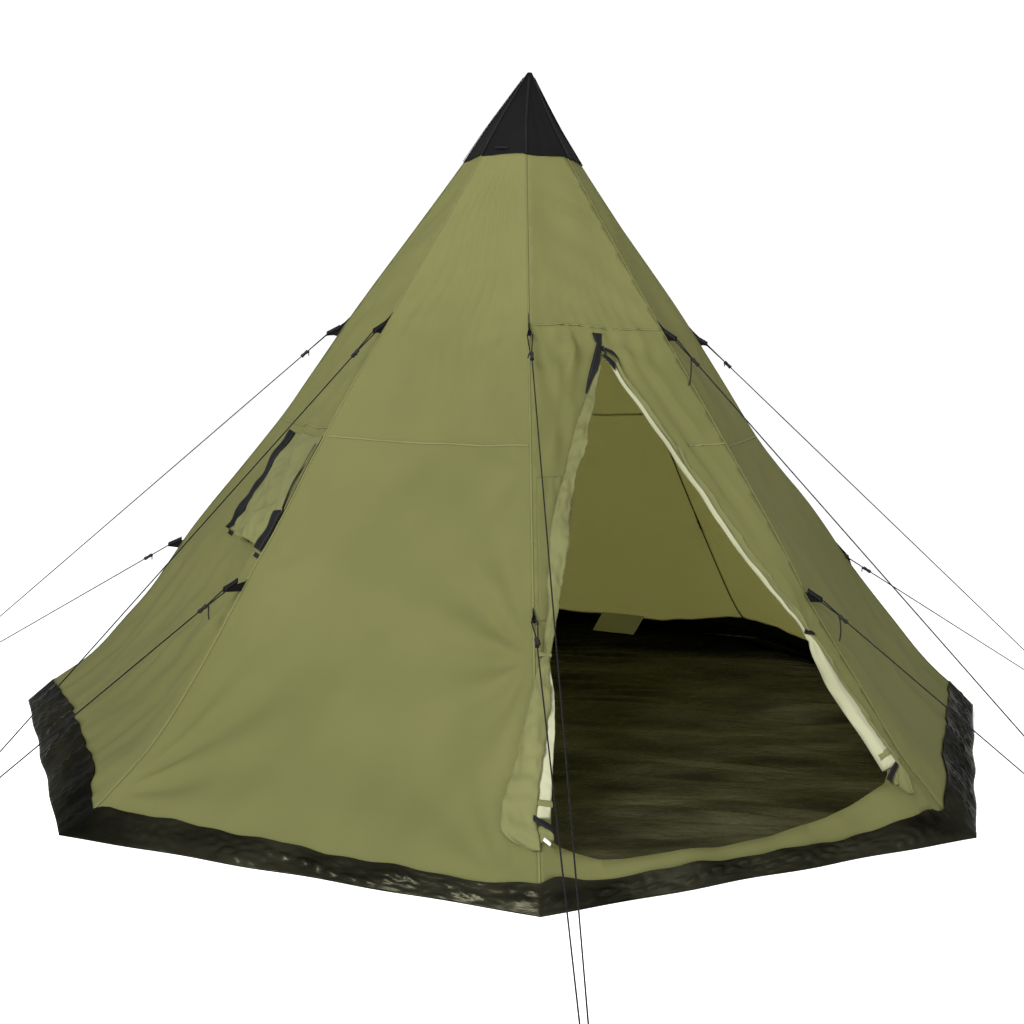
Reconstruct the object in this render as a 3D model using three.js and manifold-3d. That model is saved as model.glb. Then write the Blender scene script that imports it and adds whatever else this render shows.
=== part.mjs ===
// Eight-sided teepee tent pitched on its centre pole: walls, cap, groundsheet, door, window and guys.
// Millimetres, +Z up, front ridge towards -Y, ridges numbered anticlockwise seen from above.
import * as THREE from 'three';
import { mergeVertices } from 'three/addons/utils/BufferGeometryUtils.js';
import Module from 'manifold-3d';

const wasm = await Module();
wasm.setup();

// Tent body
const SIDES = 8;
const STEP_ANGLE = (2 * Math.PI) / SIDES;
const CLOTH = 2;
const RIDGE_INSET = 0.5;
const BASE_RADIUS = 1830;
const APEX_HEIGHT = 2360;
const CAP_HEM = [210, 2045];
const WALL_TOP = [120, 2180];
const RIDGE_BENDS = [CAP_HEM, [605, 1500], [920, 1075], [1205, 695], [1445, 385], [1612, 180]];
const SKIRT_TOPS = [
  [1775, 55], [1728, 78], [1722, 98], [1712, 115], [1710, 118], [1712, 115], [1722, 98], [1728, 78],
];
const SEAM_GAP = 2.4;
const CAP_CLEARANCE = 1.2;
const CAP_TUCK = 14;
const SKIRT_CLOTH_WIDTH = 3;

// Door, measured along the wall from its middle line and up from the ground
const DOOR_WALL = 0;
const DOOR_CUT_DEPTH = 2000;
const DOOR_OUTLINE = [
  [-12, 1335], [-63, 1262], [-110, 1168], [-156, 1090], [-223, 1005], [-260, 915], [-298, 823],
  [-374, 700], [-430, 573], [-470, 500], [-483, 429], [-548, 253], [-588, 160], [-600, 132],
  [-527, 98], [-457, 85], [-381, 80], [-276, 80], [-15, 77], [127, 84], [323, 109], [470, 135],
  [488, 152], [495, 172], [456, 316], [418, 499], [413, 518], [295, 725], [193, 931], [69, 1186],
  [12, 1325],
];
// Rolled cloth: distance along the wall, height, half width, half depth
const NET_LEFT = [
  [-40, 1250, 6, 6], [-140, 1075, 7, 7], [-243, 905, 8, 8], [-355, 700, 9, 9], [-415, 560, 9, 9],
  [-452, 500, 8, 8], [-466, 425, 11, 11], [-530, 250, 13, 13], [-568, 165, 13, 13],
];
const NET_RIGHT = [
  [14, 1290, 5, 5], [57, 1186, 5, 5], [181, 931, 6, 6], [283, 725, 6, 6], [397, 525, 7, 7],
  [398, 495, 11, 11], [436, 316, 13, 13], [474, 175, 13, 13],
];
const FLAP_LEFT = [
  [-45, 1320, 10, 5], [-88, 1262, 16, 6], [-140, 1168, 20, 6], [-255, 1005, 24, 6],
  [-335, 823, 28, 6], [-410, 700, 28, 6], [-460, 573, 26, 6], [-494, 500, 14, 6],
  [-511, 429, 22, 6], [-572, 253, 19, 6], [-606, 165, 15, 6],
];
const FLAP_RIGHT = [
  [38, 1300, 10, 5], [92, 1186, 18, 6], [220, 931, 22, 6], [323, 725, 24, 6], [432, 518, 14, 6],
  [444, 480, 18, 6], [486, 316, 26, 6], [524, 175, 24, 6],
];
const ROLL_SIDES = 8;
const ROLL_LIFT = 1.5;
const TIE_WIDTH = 20;
const TIE_CLOTH = 1.5;
const TIE_LIFT = 15;
const TIE_LEFT = [[-512, 500], [-440, 500]];
const TIE_RIGHT = [[386, 518], [450, 518]];
const STRAP_RADII = [13.6, 15.2];
const STRAP_WIDTH = 18;
const STRAP_SIDES = 12;

// Door zip
const ZIP_TOP = [-4, 1358];
const ZIP_SLIDER = { half: 5, height: 14, lift: 1, depth: 5 };
const ZIP_PULL = { half: 3.5, length: 32, lift: 6.6, depth: 1.6 };

// Window in the left front wall
const WINDOW_WALL = 6;
const WINDOW_OUTLINE = [[0, 1045], [325, 1045], [410, 755], [30, 755]];
const WINDOW_FLAP = [[-18, 1060], [338, 1060], [428, 738], [12, 738]];
const WINDOW_NET = [[-12, 1056], [336, 1056], [422, 744], [18, 744]];
const WINDOW_FLAP_LAYER = [0.8, 2.8];
const WINDOW_NET_LAYER = [-3.8, -2.8];

// Small cloth over the back skirt, inside
const INNER_WALL = 3;
const INNER_FLAP_EDGES = [-115, 105];
const INNER_FLAP_HEIGHTS = [165, 117, 30];
const INNER_FLAP_LAYER = [-6, -4.5];

// Centre pole
const POLE_RADIUS = 11;
const POLE_BORE = 9.8;
const SPIGOT_RADIUS = 9.3;
const SPIGOT_BORE = 8.3;
const SPIGOT_LENGTH = 60;
const POLE_SECTIONS = 4;
const POLE_BOTTOM = 9;
const POLE_TOP = 2322;
const POLE_JOINT_GAP = 0.5;
const POLE_NOSE = { radius: 4, length: 10 };
const POLE_ROUNDNESS = 16;
const FOOT = { radius: 17, bottom: 2.5, floor: 8.5, top: 34, bore: 11.5 };

// Guy lines, fins, sliders and pegs
const CORD_RADIUS = 2;
const CORD_SIDES = 8;
const EYES = { upper: [708, 1405], lower: [1292, 606] };
const FIN_ROOTS = { upper: [1482, 1398], lower: [678, 588] };
const FIN_ROOT_DEPTH = 1.3;
const FIN_TIP = 6.5;
const EYE_HOLE = 3;
const EYE_BEND = 8.5;
const BEND_STEPS = 6;
const SLIDER_DISTANCE = { upper: 112, lower: 92 };
const SLIDER_LENGTH = 32;
const SLIDER_BORE = 2.5;
const SLIDER_END_RADIUS = 6.5;
const SLIDER_WAIST_RADIUS = 5.2;
const SLIDER_SIDES = 10;
const KNOT_GAP = 0.6;
const KNOT_OFFSET = 4.5;
const PEG_RADIUS = 4;
const PEG_SPOTS = [
  [2375, 48], [2260, 0], [2280, 0], [2260, 0], [2260, 0], [2260, 0], [2260, 0], [2260, 0],
];
const PEG_HEIGHT = 42;
const PEG_HOOK = 9;
const CORD_AT_PEG = 20;
const PEG_GAP = 2.1;
const PEG_TURN = PEG_RADIUS + PEG_GAP + CORD_RADIUS;
const PEG_SIDES = 10;
const CORD_SIDE = { upper: 1, lower: -1 };

const RIDGE_NAMES = [
  'front', 'front_right', 'right', 'back_right', 'back', 'back_left', 'left', 'front_left',
];
const WALL_NAMES = [
  'wall_door', 'wall_right_front', 'wall_right_back', 'wall_back_right', 'wall_back_left',
  'wall_left_back', 'wall_window', 'wall_front_left',
];

const tent = new THREE.Group();
tent.name = 'teepee_tent';

function material(name, color, roughness, metalness = 0) {
  const made = new THREE.MeshStandardMaterial({ color, roughness, metalness });
  made.name = name;
  return made;
}

const canvasGreen = material('green_polyester', 0x84834f, 0.8);
const canvasBlack = material('black_polyester', 0x1f1f1e, 0.75);
const sheetPlastic = material('groundsheet_plastic', 0x24241a, 0.35);
const netCream = material('cream_net', 0xd6d6b4, 0.85);
const webbing = material('black_webbing', 0x161616, 0.8);
const steel = material('pole_steel', 0xa9acae, 0.35, 1);
const plasticBlack = material('black_plastic', 0x141414, 0.5);
const cordDark = material('guy_cord', 0x2a2a2c, 0.8);
const pegSteel = material('peg_steel', 0x9a9da0, 0.4, 1);

function addPiece(name, geometry, surface) {
  const mesh = new THREE.Mesh(geometry, surface);
  mesh.name = name;
  tent.add(mesh);
}

// Turns a closed geometry into a manifold solid and back again
function toSolid(geometry) {
  const bare = geometry.clone();
  bare.deleteAttribute('normal');
  bare.deleteAttribute('uv');
  const merged = mergeVertices(bare, 1e-4);
  const mesh = new wasm.Mesh({
    numProp: 3,
    vertProperties: new Float32Array(merged.attributes.position.array),
    triVerts: new Uint32Array(merged.index.array),
  });
  return new wasm.Manifold(mesh);
}

function fromSolid(solid) {
  const mesh = solid.getMesh();
  const geometry = new THREE.BufferGeometry();
  geometry.setAttribute('position', new THREE.BufferAttribute(mesh.vertProperties, 3));
  geometry.setIndex(new THREE.BufferAttribute(mesh.triVerts, 1));
  geometry.computeVertexNormals();
  return geometry;
}

function signedVolume(geometry) {
  const position = geometry.attributes.position;
  const index = geometry.index.array;
  const corners = [new THREE.Vector3(), new THREE.Vector3(), new THREE.Vector3()];
  let volume = 0;
  for (let i = 0; i < index.length; i += 3) {
    corners.forEach((corner, j) => corner.fromBufferAttribute(position, index[i + j]));
    volume += corners[0].dot(corners[1].clone().cross(corners[2])) / 6;
  }
  return volume;
}

// Joins closed cross-sections, all with the same number of points, into one closed body
function loft(rings) {
  const count = rings[0].length;
  const index = [];
  for (let r = 0; r + 1 < rings.length; r += 1) {
    for (let i = 0; i < count; i += 1) {
      const a = r * count + i;
      const b = r * count + ((i + 1) % count);
      index.push(a, b, b + count, a, b + count, a + count);
    }
  }
  const last = (rings.length - 1) * count;
  for (let i = 1; i + 1 < count; i += 1) {
    index.push(0, i + 1, i);
    index.push(last, last + i, last + i + 1);
  }
  const geometry = new THREE.BufferGeometry();
  const points = rings.flat().flatMap((point) => point.toArray());
  geometry.setAttribute('position', new THREE.Float32BufferAttribute(points, 3));
  geometry.setIndex(index);
  if (signedVolume(geometry) < 0) {
    geometry.setIndex(index.reverse());
  }
  geometry.computeVertexNormals();
  return geometry;
}

// Closed lathe body round the Z axis; the profile holds [radius, height] pairs
function lathe(profile, sides) {
  const points = profile.map(([radius, height]) => new THREE.Vector2(radius, height));
  const geometry = new THREE.LatheGeometry(points, sides);
  geometry.rotateX(Math.PI / 2);
  return fromSolid(toSolid(geometry));
}

function closedProfile(profile) {
  return [...profile, profile[0]];
}

// A route through given points, one extrusion step for each stretch between two of them
class Route extends THREE.Curve {
  constructor(points) {
    super();
    this.points = points;
  }

  getPoint(t) {
    const place = Math.min(t, 1) * (this.points.length - 1);
    const first = Math.min(Math.floor(place + 1e-9), this.points.length - 2);
    return this.points[first].clone().lerp(this.points[first + 1], place - first);
  }

  getPointAt(u) {
    return this.getPoint(u);
  }

  getTangentAt(u) {
    const last = this.points.length - 1;
    const place = Math.round(u * last);
    const before = this.points[Math.max(place - 1, 0)];
    const here = this.points[place];
    const after = this.points[Math.min(place + 1, last)];
    const incoming = here.clone().sub(before).normalize();
    const outgoing = after.clone().sub(here).normalize();
    return incoming.add(outgoing).normalize();
  }
}

function tube(points, radius, sides) {
  const outline = [];
  for (let i = 0; i < sides; i += 1) {
    const angle = (2 * Math.PI * i) / sides;
    outline.push(new THREE.Vector2(radius * Math.cos(angle), radius * Math.sin(angle)));
  }
  const geometry = new THREE.ExtrudeGeometry(new THREE.Shape(outline), {
    steps: points.length - 1,
    bevelEnabled: false,
    extrudePath: new Route(points),
  });
  return fromSolid(toSolid(geometry));
}

// Directions and places
function outward(turns) {
  const angle = turns * STEP_ANGLE;
  return new THREE.Vector3(Math.sin(angle), -Math.cos(angle), 0);
}

function sideways(turns) {
  const angle = turns * STEP_ANGLE;
  return new THREE.Vector3(Math.cos(angle), Math.sin(angle), 0);
}

function ridgePoint(ridge, radius, height, aside = 0) {
  return outward(ridge).multiplyScalar(radius)
    .addScaledVector(sideways(ridge), aside)
    .setZ(height);
}

function ridgeProfile(ridge) {
  const [skirtRadius, skirtHeight] = SKIRT_TOPS[ridge % SIDES];
  return [WALL_TOP, ...RIDGE_BENDS, [skirtRadius - SEAM_GAP, skirtHeight + SEAM_GAP]];
}

// Moves an open profile by a distance to its inner side
function offsetProfile(profile, distance) {
  return profile.map((point, i) => {
    const before = profile[Math.max(i - 1, 0)];
    const after = profile[Math.min(i + 1, profile.length - 1)];
    const run = after[0] - before[0];
    const drop = before[1] - after[1];
    const length = Math.hypot(run, drop);
    return [point[0] - (distance * drop) / length, point[1] - (distance * run) / length];
  });
}

function radiusAt(height) {
  const levels = [[0, APEX_HEIGHT], ...RIDGE_BENDS, SKIRT_TOPS[2], [BASE_RADIUS, 0]];
  const below = levels.findIndex((level) => level[1] <= height);
  const [lowRadius, lowHeight] = levels[below];
  const [highRadius, highHeight] = levels[below - 1];
  const share = (height - lowHeight) / (highHeight - lowHeight);
  return lowRadius + share * (highRadius - lowRadius);
}

// A point beside a wall: along it from its middle line, up from the ground, out from its face
function wallPoint(wall, along, height, out) {
  const apothem = Math.cos(STEP_ANGLE / 2);
  const reach = 20;
  const run = (radiusAt(height - reach) - radiusAt(height + reach)) * apothem;
  const length = Math.hypot(run, 2 * reach);
  const normal = outward(wall + 0.5).multiplyScalar((2 * reach) / length).setZ(run / length);
  return outward(wall + 0.5).multiplyScalar(radiusAt(height) * apothem)
    .addScaledVector(sideways(wall + 0.5), along)
    .setZ(height)
    .addScaledVector(normal, out);
}

// Wall cloth between two ridges
function wallSlab(wall) {
  const along = sideways(wall + 0.5);
  const outer = [wall, wall + 1].map((ridge) => ridgeProfile(ridge));
  const inner = outer.map((profile) => offsetProfile(profile, CLOTH));
  const corner = (profile, side, level) => {
    const [radius, height] = profile[side][level];
    return ridgePoint(wall + side, radius, height)
      .addScaledVector(along, side === 0 ? RIDGE_INSET : -RIDGE_INSET);
  };
  const rings = outer[0].map((_, level) => [
    corner(outer, 0, level), corner(outer, 1, level), corner(inner, 1, level), corner(inner, 0, level),
  ]);
  return loft(rings);
}

// Flat plate on a wall: an outline in wall measures between two distances out from the face
function wallPlate(wall, outline, layer) {
  const rings = layer.map((out) => outline.map(([along, height]) => wallPoint(wall, along, height, out)));
  return loft(rings);
}

// Level prism through a wall, for cutting an opening
function wallCut(wall, outline) {
  const shape = new THREE.Shape(outline.map(([along, height]) => new THREE.Vector2(along, height)));
  const geometry = new THREE.ExtrudeGeometry(shape, { depth: DOOR_CUT_DEPTH, bevelEnabled: false });
  const place = new THREE.Matrix4().makeBasis(
    sideways(wall + 0.5), new THREE.Vector3(0, 0, 1), outward(wall + 0.5),
  );
  return toSolid(mirroredIfNeeded(geometry.applyMatrix4(place), place));
}

function mirroredIfNeeded(geometry, matrix) {
  if (matrix.determinant() > 0) {
    return geometry;
  }
  const merged = mergeVertices(geometry);
  merged.setIndex([...merged.index.array].reverse());
  return merged;
}

function pegPoint(ridge, height) {
  const [radius, aside] = PEG_SPOTS[ridge];
  return ridgePoint(ridge, radius, height, aside);
}

function eyePoint(ridge, level) {
  const [radius, height] = EYES[level];
  return ridgePoint(ridge, radius, height, RIDGE_INSET + CLOTH / 2);
}

// Along the taut line, from the fin's eye to the side of the peg it passes
function guyDirection(ridge, level) {
  return pegPoint(ridge, CORD_AT_PEG)
    .addScaledVector(sideways(ridge), CORD_SIDE[level] * PEG_TURN)
    .sub(eyePoint(ridge, level))
    .normalize();
}

// Fin standing on a ridge, with the eye the guy runs through
function finSolid(ridge, level) {
  const [eyeRadius, eyeHeight] = EYES[level];
  const slope = new THREE.Vector2(PEG_SPOTS[ridge][0] - eyeRadius, CORD_AT_PEG - eyeHeight).normalize();
  const across = new THREE.Vector2(-slope.y, slope.x);
  const eye = new THREE.Vector2(eyeRadius, eyeHeight);
  const tipAt = (side) => eye.clone()
    .addScaledVector(slope, FIN_TIP)
    .addScaledVector(across, side * FIN_TIP);
  const roots = FIN_ROOTS[level].map((height) => (
    new THREE.Vector2(radiusAt(height) - FIN_ROOT_DEPTH, height)));
  const shape = new THREE.Shape([roots[0], tipAt(1), tipAt(-1), roots[1]]);
  const hole = new THREE.Path();
  hole.absarc(eyeRadius, eyeHeight, EYE_HOLE, 0, 2 * Math.PI);
  shape.holes.push(hole);
  const geometry = new THREE.ExtrudeGeometry(shape, {
    depth: CLOTH, bevelEnabled: false, curveSegments: 5,
  });
  const place = new THREE.Matrix4().makeBasis(
    outward(ridge), new THREE.Vector3(0, 0, 1), sideways(ridge),
  );
  const shifted = mirroredIfNeeded(geometry.applyMatrix4(place), place);
  shifted.translate(...sideways(ridge).multiplyScalar(RIDGE_INSET).toArray());
  return toSolid(shifted);
}

function addWalls() {
  WALL_NAMES.forEach((name, wall) => {
    let solid = toSolid(wallSlab(wall));
    if (wall === DOOR_WALL) {
      solid = solid.subtract(wallCut(wall, DOOR_OUTLINE));
    }
    if (wall === WINDOW_WALL) {
      solid = solid.subtract(wallCut(wall, WINDOW_OUTLINE));
    }
    solid = solid.add(finSolid(wall, 'upper')).add(finSolid(wall, 'lower'));
    addPiece(name, fromSolid(solid), canvasGreen);
  });
}

function addCap() {
  const slope = [[0, APEX_HEIGHT], [CAP_HEM[0] + CAP_TUCK * 0.6, CAP_HEM[1] - CAP_TUCK * 0.8]];
  const inside = offsetProfile(slope, -CAP_CLEARANCE);
  const outside = offsetProfile(slope, -CAP_CLEARANCE - CLOTH);
  const tip = (profile) => [0, profile[0][1] + profile[0][0] * (APEX_HEIGHT - CAP_HEM[1]) / CAP_HEM[0]];
  const profile = [tip(inside), inside[1], outside[1], tip(outside)];
  addPiece('apex_cap', lathe(profile, SIDES), canvasBlack);
}

// The tray's upper rim follows the skirt height of each ridge
// Floor sheet with a turned-up skirt; both faces of a skirt panel are split along the same diagonal
function addGroundsheet() {
  const rings = [
    (ridge) => ridgePoint(ridge, BASE_RADIUS, 0),
    (ridge) => ridgePoint(ridge, ...SKIRT_TOPS[ridge]),
    (ridge) => ridgePoint(ridge, SKIRT_TOPS[ridge][0] - SKIRT_CLOTH_WIDTH, SKIRT_TOPS[ridge][1]),
    (ridge) => ridgePoint(ridge, BASE_RADIUS - 2 * SKIRT_CLOTH_WIDTH, CLOTH),
  ];
  const underneath = rings.length * SIDES;
  const points = rings.flatMap((ring) => RIDGE_NAMES.map((_, ridge) => ring(ridge)));
  points.push(new THREE.Vector3(0, 0, 0), new THREE.Vector3(0, 0, CLOTH));
  const index = [];
  for (let k = 0; k < SIDES; k += 1) {
    const next = (k + 1) % SIDES;
    const [base, rim, inside, floor] = rings.map((_, ring) => ring * SIDES);
    index.push(underneath, base + next, base + k);
    index.push(base + k, base + next, rim + next, base + k, rim + next, rim + k);
    index.push(rim + k, rim + next, inside + next, rim + k, inside + next, inside + k);
    index.push(inside + k, inside + next, floor + k, inside + next, floor + next, floor + k);
    index.push(floor + k, floor + next, underneath + 1);
  }
  const geometry = new THREE.BufferGeometry();
  const coordinates = points.flatMap((point) => point.toArray());
  geometry.setAttribute('position', new THREE.Float32BufferAttribute(coordinates, 3));
  geometry.setIndex(index);
  geometry.computeVertexNormals();
  addPiece('groundsheet', geometry, sheetPlastic);
}

// Flattened roll of cloth lying along a line on the wall
function roll(wall, stations, lift) {
  const rings = stations.map(([along, height, halfWidth, halfDepth]) => {
    const ring = [];
    for (let i = 0; i < ROLL_SIDES; i += 1) {
      const angle = (2 * Math.PI * i) / ROLL_SIDES;
      const out = lift === 0 ? 0 : lift + halfDepth;
      ring.push(wallPoint(
        wall, along + halfWidth * Math.cos(angle), height, out + halfDepth * Math.sin(angle),
      ));
    }
    return ring;
  });
  return loft(rings);
}

function addDoorRolls() {
  addPiece('door_net_left', roll(DOOR_WALL, NET_LEFT, 0), netCream);
  addPiece('door_net_right', roll(DOOR_WALL, NET_RIGHT, 0), netCream);
  addPiece('door_flap_left', roll(DOOR_WALL, FLAP_LEFT, ROLL_LIFT), canvasGreen);
  addPiece('door_flap_right', roll(DOOR_WALL, FLAP_RIGHT, ROLL_LIFT), canvasGreen);
}

function tieBand([start, end]) {
  const half = TIE_WIDTH / 2;
  const outline = [
    [start[0], start[1] - half], [end[0], end[1] - half], [end[0], end[1] + half], [start[0], start[1] + half],
  ];
  return wallPlate(DOOR_WALL, outline, [TIE_LIFT, TIE_LIFT + TIE_CLOTH]);
}

// Band closed round the lower end of a net roll
function strapRing(stations) {
  const [above, end] = stations.slice(-2).map(([along, height]) => wallPoint(DOOR_WALL, along, height, 0));
  const along = above.clone().sub(end).normalize();
  const centre = end.clone().addScaledVector(along, STRAP_WIDTH);
  const [bore, radius] = STRAP_RADII;
  const half = STRAP_WIDTH / 2;
  const geometry = lathe(closedProfile([[bore, -half], [radius, -half], [radius, half], [bore, half]]), STRAP_SIDES);
  geometry.applyQuaternion(new THREE.Quaternion().setFromUnitVectors(new THREE.Vector3(0, 0, 1), along));
  geometry.translate(...centre.toArray());
  return geometry;
}

function addDoorTies() {
  addPiece('door_tie_left', tieBand(TIE_LEFT), webbing);
  addPiece('door_tie_right', tieBand(TIE_RIGHT), webbing);
  addPiece('door_strap_left', strapRing(NET_LEFT), webbing);
  addPiece('door_strap_right', strapRing(NET_RIGHT), webbing);
}

function addZip() {
  const [along, height] = ZIP_TOP;
  const body = [
    [along - ZIP_SLIDER.half, height], [along + ZIP_SLIDER.half, height],
    [along + ZIP_SLIDER.half, height + ZIP_SLIDER.height], [along - ZIP_SLIDER.half, height + ZIP_SLIDER.height],
  ];
  const pullTop = height + ZIP_SLIDER.height / 2;
  const pull = [
    [along - ZIP_PULL.half, pullTop - ZIP_PULL.length], [along + ZIP_PULL.half, pullTop - ZIP_PULL.length],
    [along + ZIP_PULL.half, pullTop], [along - ZIP_PULL.half, pullTop],
  ];
  const layer = (piece) => [piece.lift, piece.lift + piece.depth];
  addPiece('door_zip_slider', wallPlate(DOOR_WALL, body, layer(ZIP_SLIDER)), plasticBlack);
  addPiece('door_zip_pull', wallPlate(DOOR_WALL, pull, layer(ZIP_PULL)), plasticBlack);
}

function addWindow() {
  addPiece('window_flap', wallPlate(WINDOW_WALL, WINDOW_FLAP, WINDOW_FLAP_LAYER), canvasGreen);
  addPiece('window_net', wallPlate(WINDOW_WALL, WINDOW_NET, WINDOW_NET_LAYER), netCream);
}

function addInnerFlap() {
  const [left, right] = INNER_FLAP_EDGES;
  const [inner, outer] = INNER_FLAP_LAYER;
  const rings = INNER_FLAP_HEIGHTS.map((height) => [
    wallPoint(INNER_WALL, left, height, outer), wallPoint(INNER_WALL, right, height, outer),
    wallPoint(INNER_WALL, right, height, inner), wallPoint(INNER_WALL, left, height, inner),
  ]);
  addPiece('inner_flap', loft(rings), canvasGreen);
}

function addPole() {
  const length = (POLE_TOP - POLE_BOTTOM) / POLE_SECTIONS;
  for (let i = 0; i < POLE_SECTIONS; i += 1) {
    const bottom = POLE_BOTTOM + i * length;
    const top = bottom + length - POLE_JOINT_GAP;
    const isLast = i === POLE_SECTIONS - 1;
    const end = isLast
      ? [[POLE_RADIUS, top - POLE_NOSE.length], [POLE_NOSE.radius + 1, top], [POLE_NOSE.radius, top - 1],
        [POLE_BORE, top - POLE_NOSE.length]]
      : [[POLE_RADIUS, top], [SPIGOT_RADIUS, top], [SPIGOT_RADIUS, top + SPIGOT_LENGTH],
        [SPIGOT_BORE, top + SPIGOT_LENGTH], [SPIGOT_BORE, top - SPIGOT_LENGTH], [POLE_BORE, top - SPIGOT_LENGTH]];
    const profile = closedProfile([[POLE_BORE, bottom], [POLE_RADIUS, bottom], ...end]);
    addPiece(`pole_section_${i + 1}`, lathe(profile, POLE_ROUNDNESS), steel);
  }
  const foot = [
    [0, FOOT.bottom], [FOOT.radius, FOOT.bottom], [FOOT.radius, FOOT.top], [FOOT.bore, FOOT.top],
    [FOOT.bore, FOOT.floor], [0, FOOT.floor],
  ];
  addPiece('pole_foot', lathe(foot, POLE_ROUNDNESS), plasticBlack);
}

// Half turn of a cord round a point, from one side to the other
function bend(centre, ahead, aside, radius, from, to) {
  const points = [];
  for (let i = 0; i <= BEND_STEPS; i += 1) {
    const angle = from + ((to - from) * i) / BEND_STEPS;
    points.push(centre.clone()
      .addScaledVector(ahead, radius * Math.cos(angle))
      .addScaledVector(aside, radius * Math.sin(angle)));
  }
  return points;
}

function sliderCentre(ridge, level) {
  return eyePoint(ridge, level).addScaledVector(guyDirection(ridge, level), SLIDER_DISTANCE[level]);
}

// From the knot on the slider's end, through the fin's eye and back to the slider's bore
function loopAtFin(ridge, level) {
  const ahead = guyDirection(ridge, level);
  const aside = sideways(ridge).multiplyScalar(CORD_SIDE[level]);
  const sliderEnd = sliderCentre(ridge, level).addScaledVector(ahead, -SLIDER_LENGTH / 2);
  const knot = sliderEnd.clone()
    .addScaledVector(ahead, -KNOT_GAP)
    .addScaledVector(aside, -KNOT_OFFSET);
  const turnCentre = eyePoint(ridge, level).addScaledVector(ahead, EYE_BEND);
  const back = ahead.clone().negate();
  return [
    knot,
    ...bend(turnCentre, back, aside, EYE_BEND, -Math.PI / 2, Math.PI / 2),
    sliderEnd,
    sliderEnd.clone().addScaledVector(ahead, SLIDER_LENGTH),
  ];
}

function addGuy(ridge) {
  const roundPeg = bend(
    pegPoint(ridge, CORD_AT_PEG), outward(ridge), sideways(ridge), PEG_TURN, Math.PI / 2, -Math.PI / 2,
  );
  const upper = loopAtFin(ridge, 'upper');
  const lower = loopAtFin(ridge, 'lower').reverse();
  addPiece(`guy_${RIDGE_NAMES[ridge]}`, tube([...upper, ...roundPeg, ...lower], CORD_RADIUS, CORD_SIDES), cordDark);
}

function addSlider(ridge, level) {
  const half = SLIDER_LENGTH / 2;
  const profile = closedProfile([
    [SLIDER_BORE, -half], [SLIDER_END_RADIUS, -half], [SLIDER_END_RADIUS, -half / 2],
    [SLIDER_WAIST_RADIUS, 0], [SLIDER_END_RADIUS, half / 2], [SLIDER_END_RADIUS, half], [SLIDER_BORE, half],
  ]);
  const geometry = lathe(profile, SLIDER_SIDES);
  const turn = new THREE.Quaternion()
    .setFromUnitVectors(new THREE.Vector3(0, 0, 1), guyDirection(ridge, level));
  geometry.applyQuaternion(turn);
  geometry.translate(...sliderCentre(ridge, level).toArray());
  addPiece(`slider_${RIDGE_NAMES[ridge]}_${level}`, geometry, plasticBlack);
}

// Only what stands above the ground: a rod with its hook turned away from the tent
function addPeg(ridge) {
  const foot = pegPoint(ridge, 0);
  const up = new THREE.Vector3(0, 0, 1);
  const neck = pegPoint(ridge, PEG_HEIGHT - PEG_HOOK - PEG_RADIUS);
  const hookCentre = neck.clone().addScaledVector(outward(ridge), PEG_HOOK);
  const hook = bend(hookCentre, outward(ridge), up, PEG_HOOK, Math.PI, 0);
  addPiece(`peg_${RIDGE_NAMES[ridge]}`, tube([foot, ...hook], PEG_RADIUS, PEG_SIDES), pegSteel);
}

addWalls();
addCap();
addGroundsheet();
addPole();
addDoorRolls();
addDoorTies();
addZip();
addWindow();
addInnerFlap();
RIDGE_NAMES.forEach((_, ridge) => {
  addGuy(ridge);
  addSlider(ridge, 'upper');
  addSlider(ridge, 'lower');
  addPeg(ridge);
});

export default tent;
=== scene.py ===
import math

import bpy
import numpy as np
from mathutils import Matrix, Vector
from mathutils.geometry import delaunay_2d_cdt


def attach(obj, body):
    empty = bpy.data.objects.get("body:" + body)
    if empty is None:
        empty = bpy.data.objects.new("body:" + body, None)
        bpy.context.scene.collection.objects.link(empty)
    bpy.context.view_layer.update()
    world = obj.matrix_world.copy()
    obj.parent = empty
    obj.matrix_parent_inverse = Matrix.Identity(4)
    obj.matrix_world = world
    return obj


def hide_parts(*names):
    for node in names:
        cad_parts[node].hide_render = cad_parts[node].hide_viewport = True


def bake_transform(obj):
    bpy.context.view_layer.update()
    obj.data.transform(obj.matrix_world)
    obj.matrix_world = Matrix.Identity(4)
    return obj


# The teepee tent's cloth, cords and looks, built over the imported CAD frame. Metres, Z up, front to -Y.
# Ridges and walls are numbered round from the front ridge and the door wall beside it. On a wall, s runs
# along it from its middle line and z is height; between ridges, u goes from -1 to 1.
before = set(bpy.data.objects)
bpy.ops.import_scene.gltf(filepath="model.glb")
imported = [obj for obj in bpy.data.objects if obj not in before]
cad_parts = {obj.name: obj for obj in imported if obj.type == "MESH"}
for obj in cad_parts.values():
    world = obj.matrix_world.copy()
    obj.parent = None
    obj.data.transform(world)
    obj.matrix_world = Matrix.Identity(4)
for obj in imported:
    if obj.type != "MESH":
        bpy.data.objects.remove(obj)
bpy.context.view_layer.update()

# ---------------------------------------------------------------- camera
CAMERA_DISTANCE = 4.582
CAMERA_HEIGHT = 1.285
CAMERA_TURN = math.radians(-2.78)
CAMERA_YAW = math.radians(0.09)
CAMERA_PITCH = math.radians(-6.59)
CAMERA_ROLL = math.radians(1.48)
LENS = 42.76
SENSOR = 36.0


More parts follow.
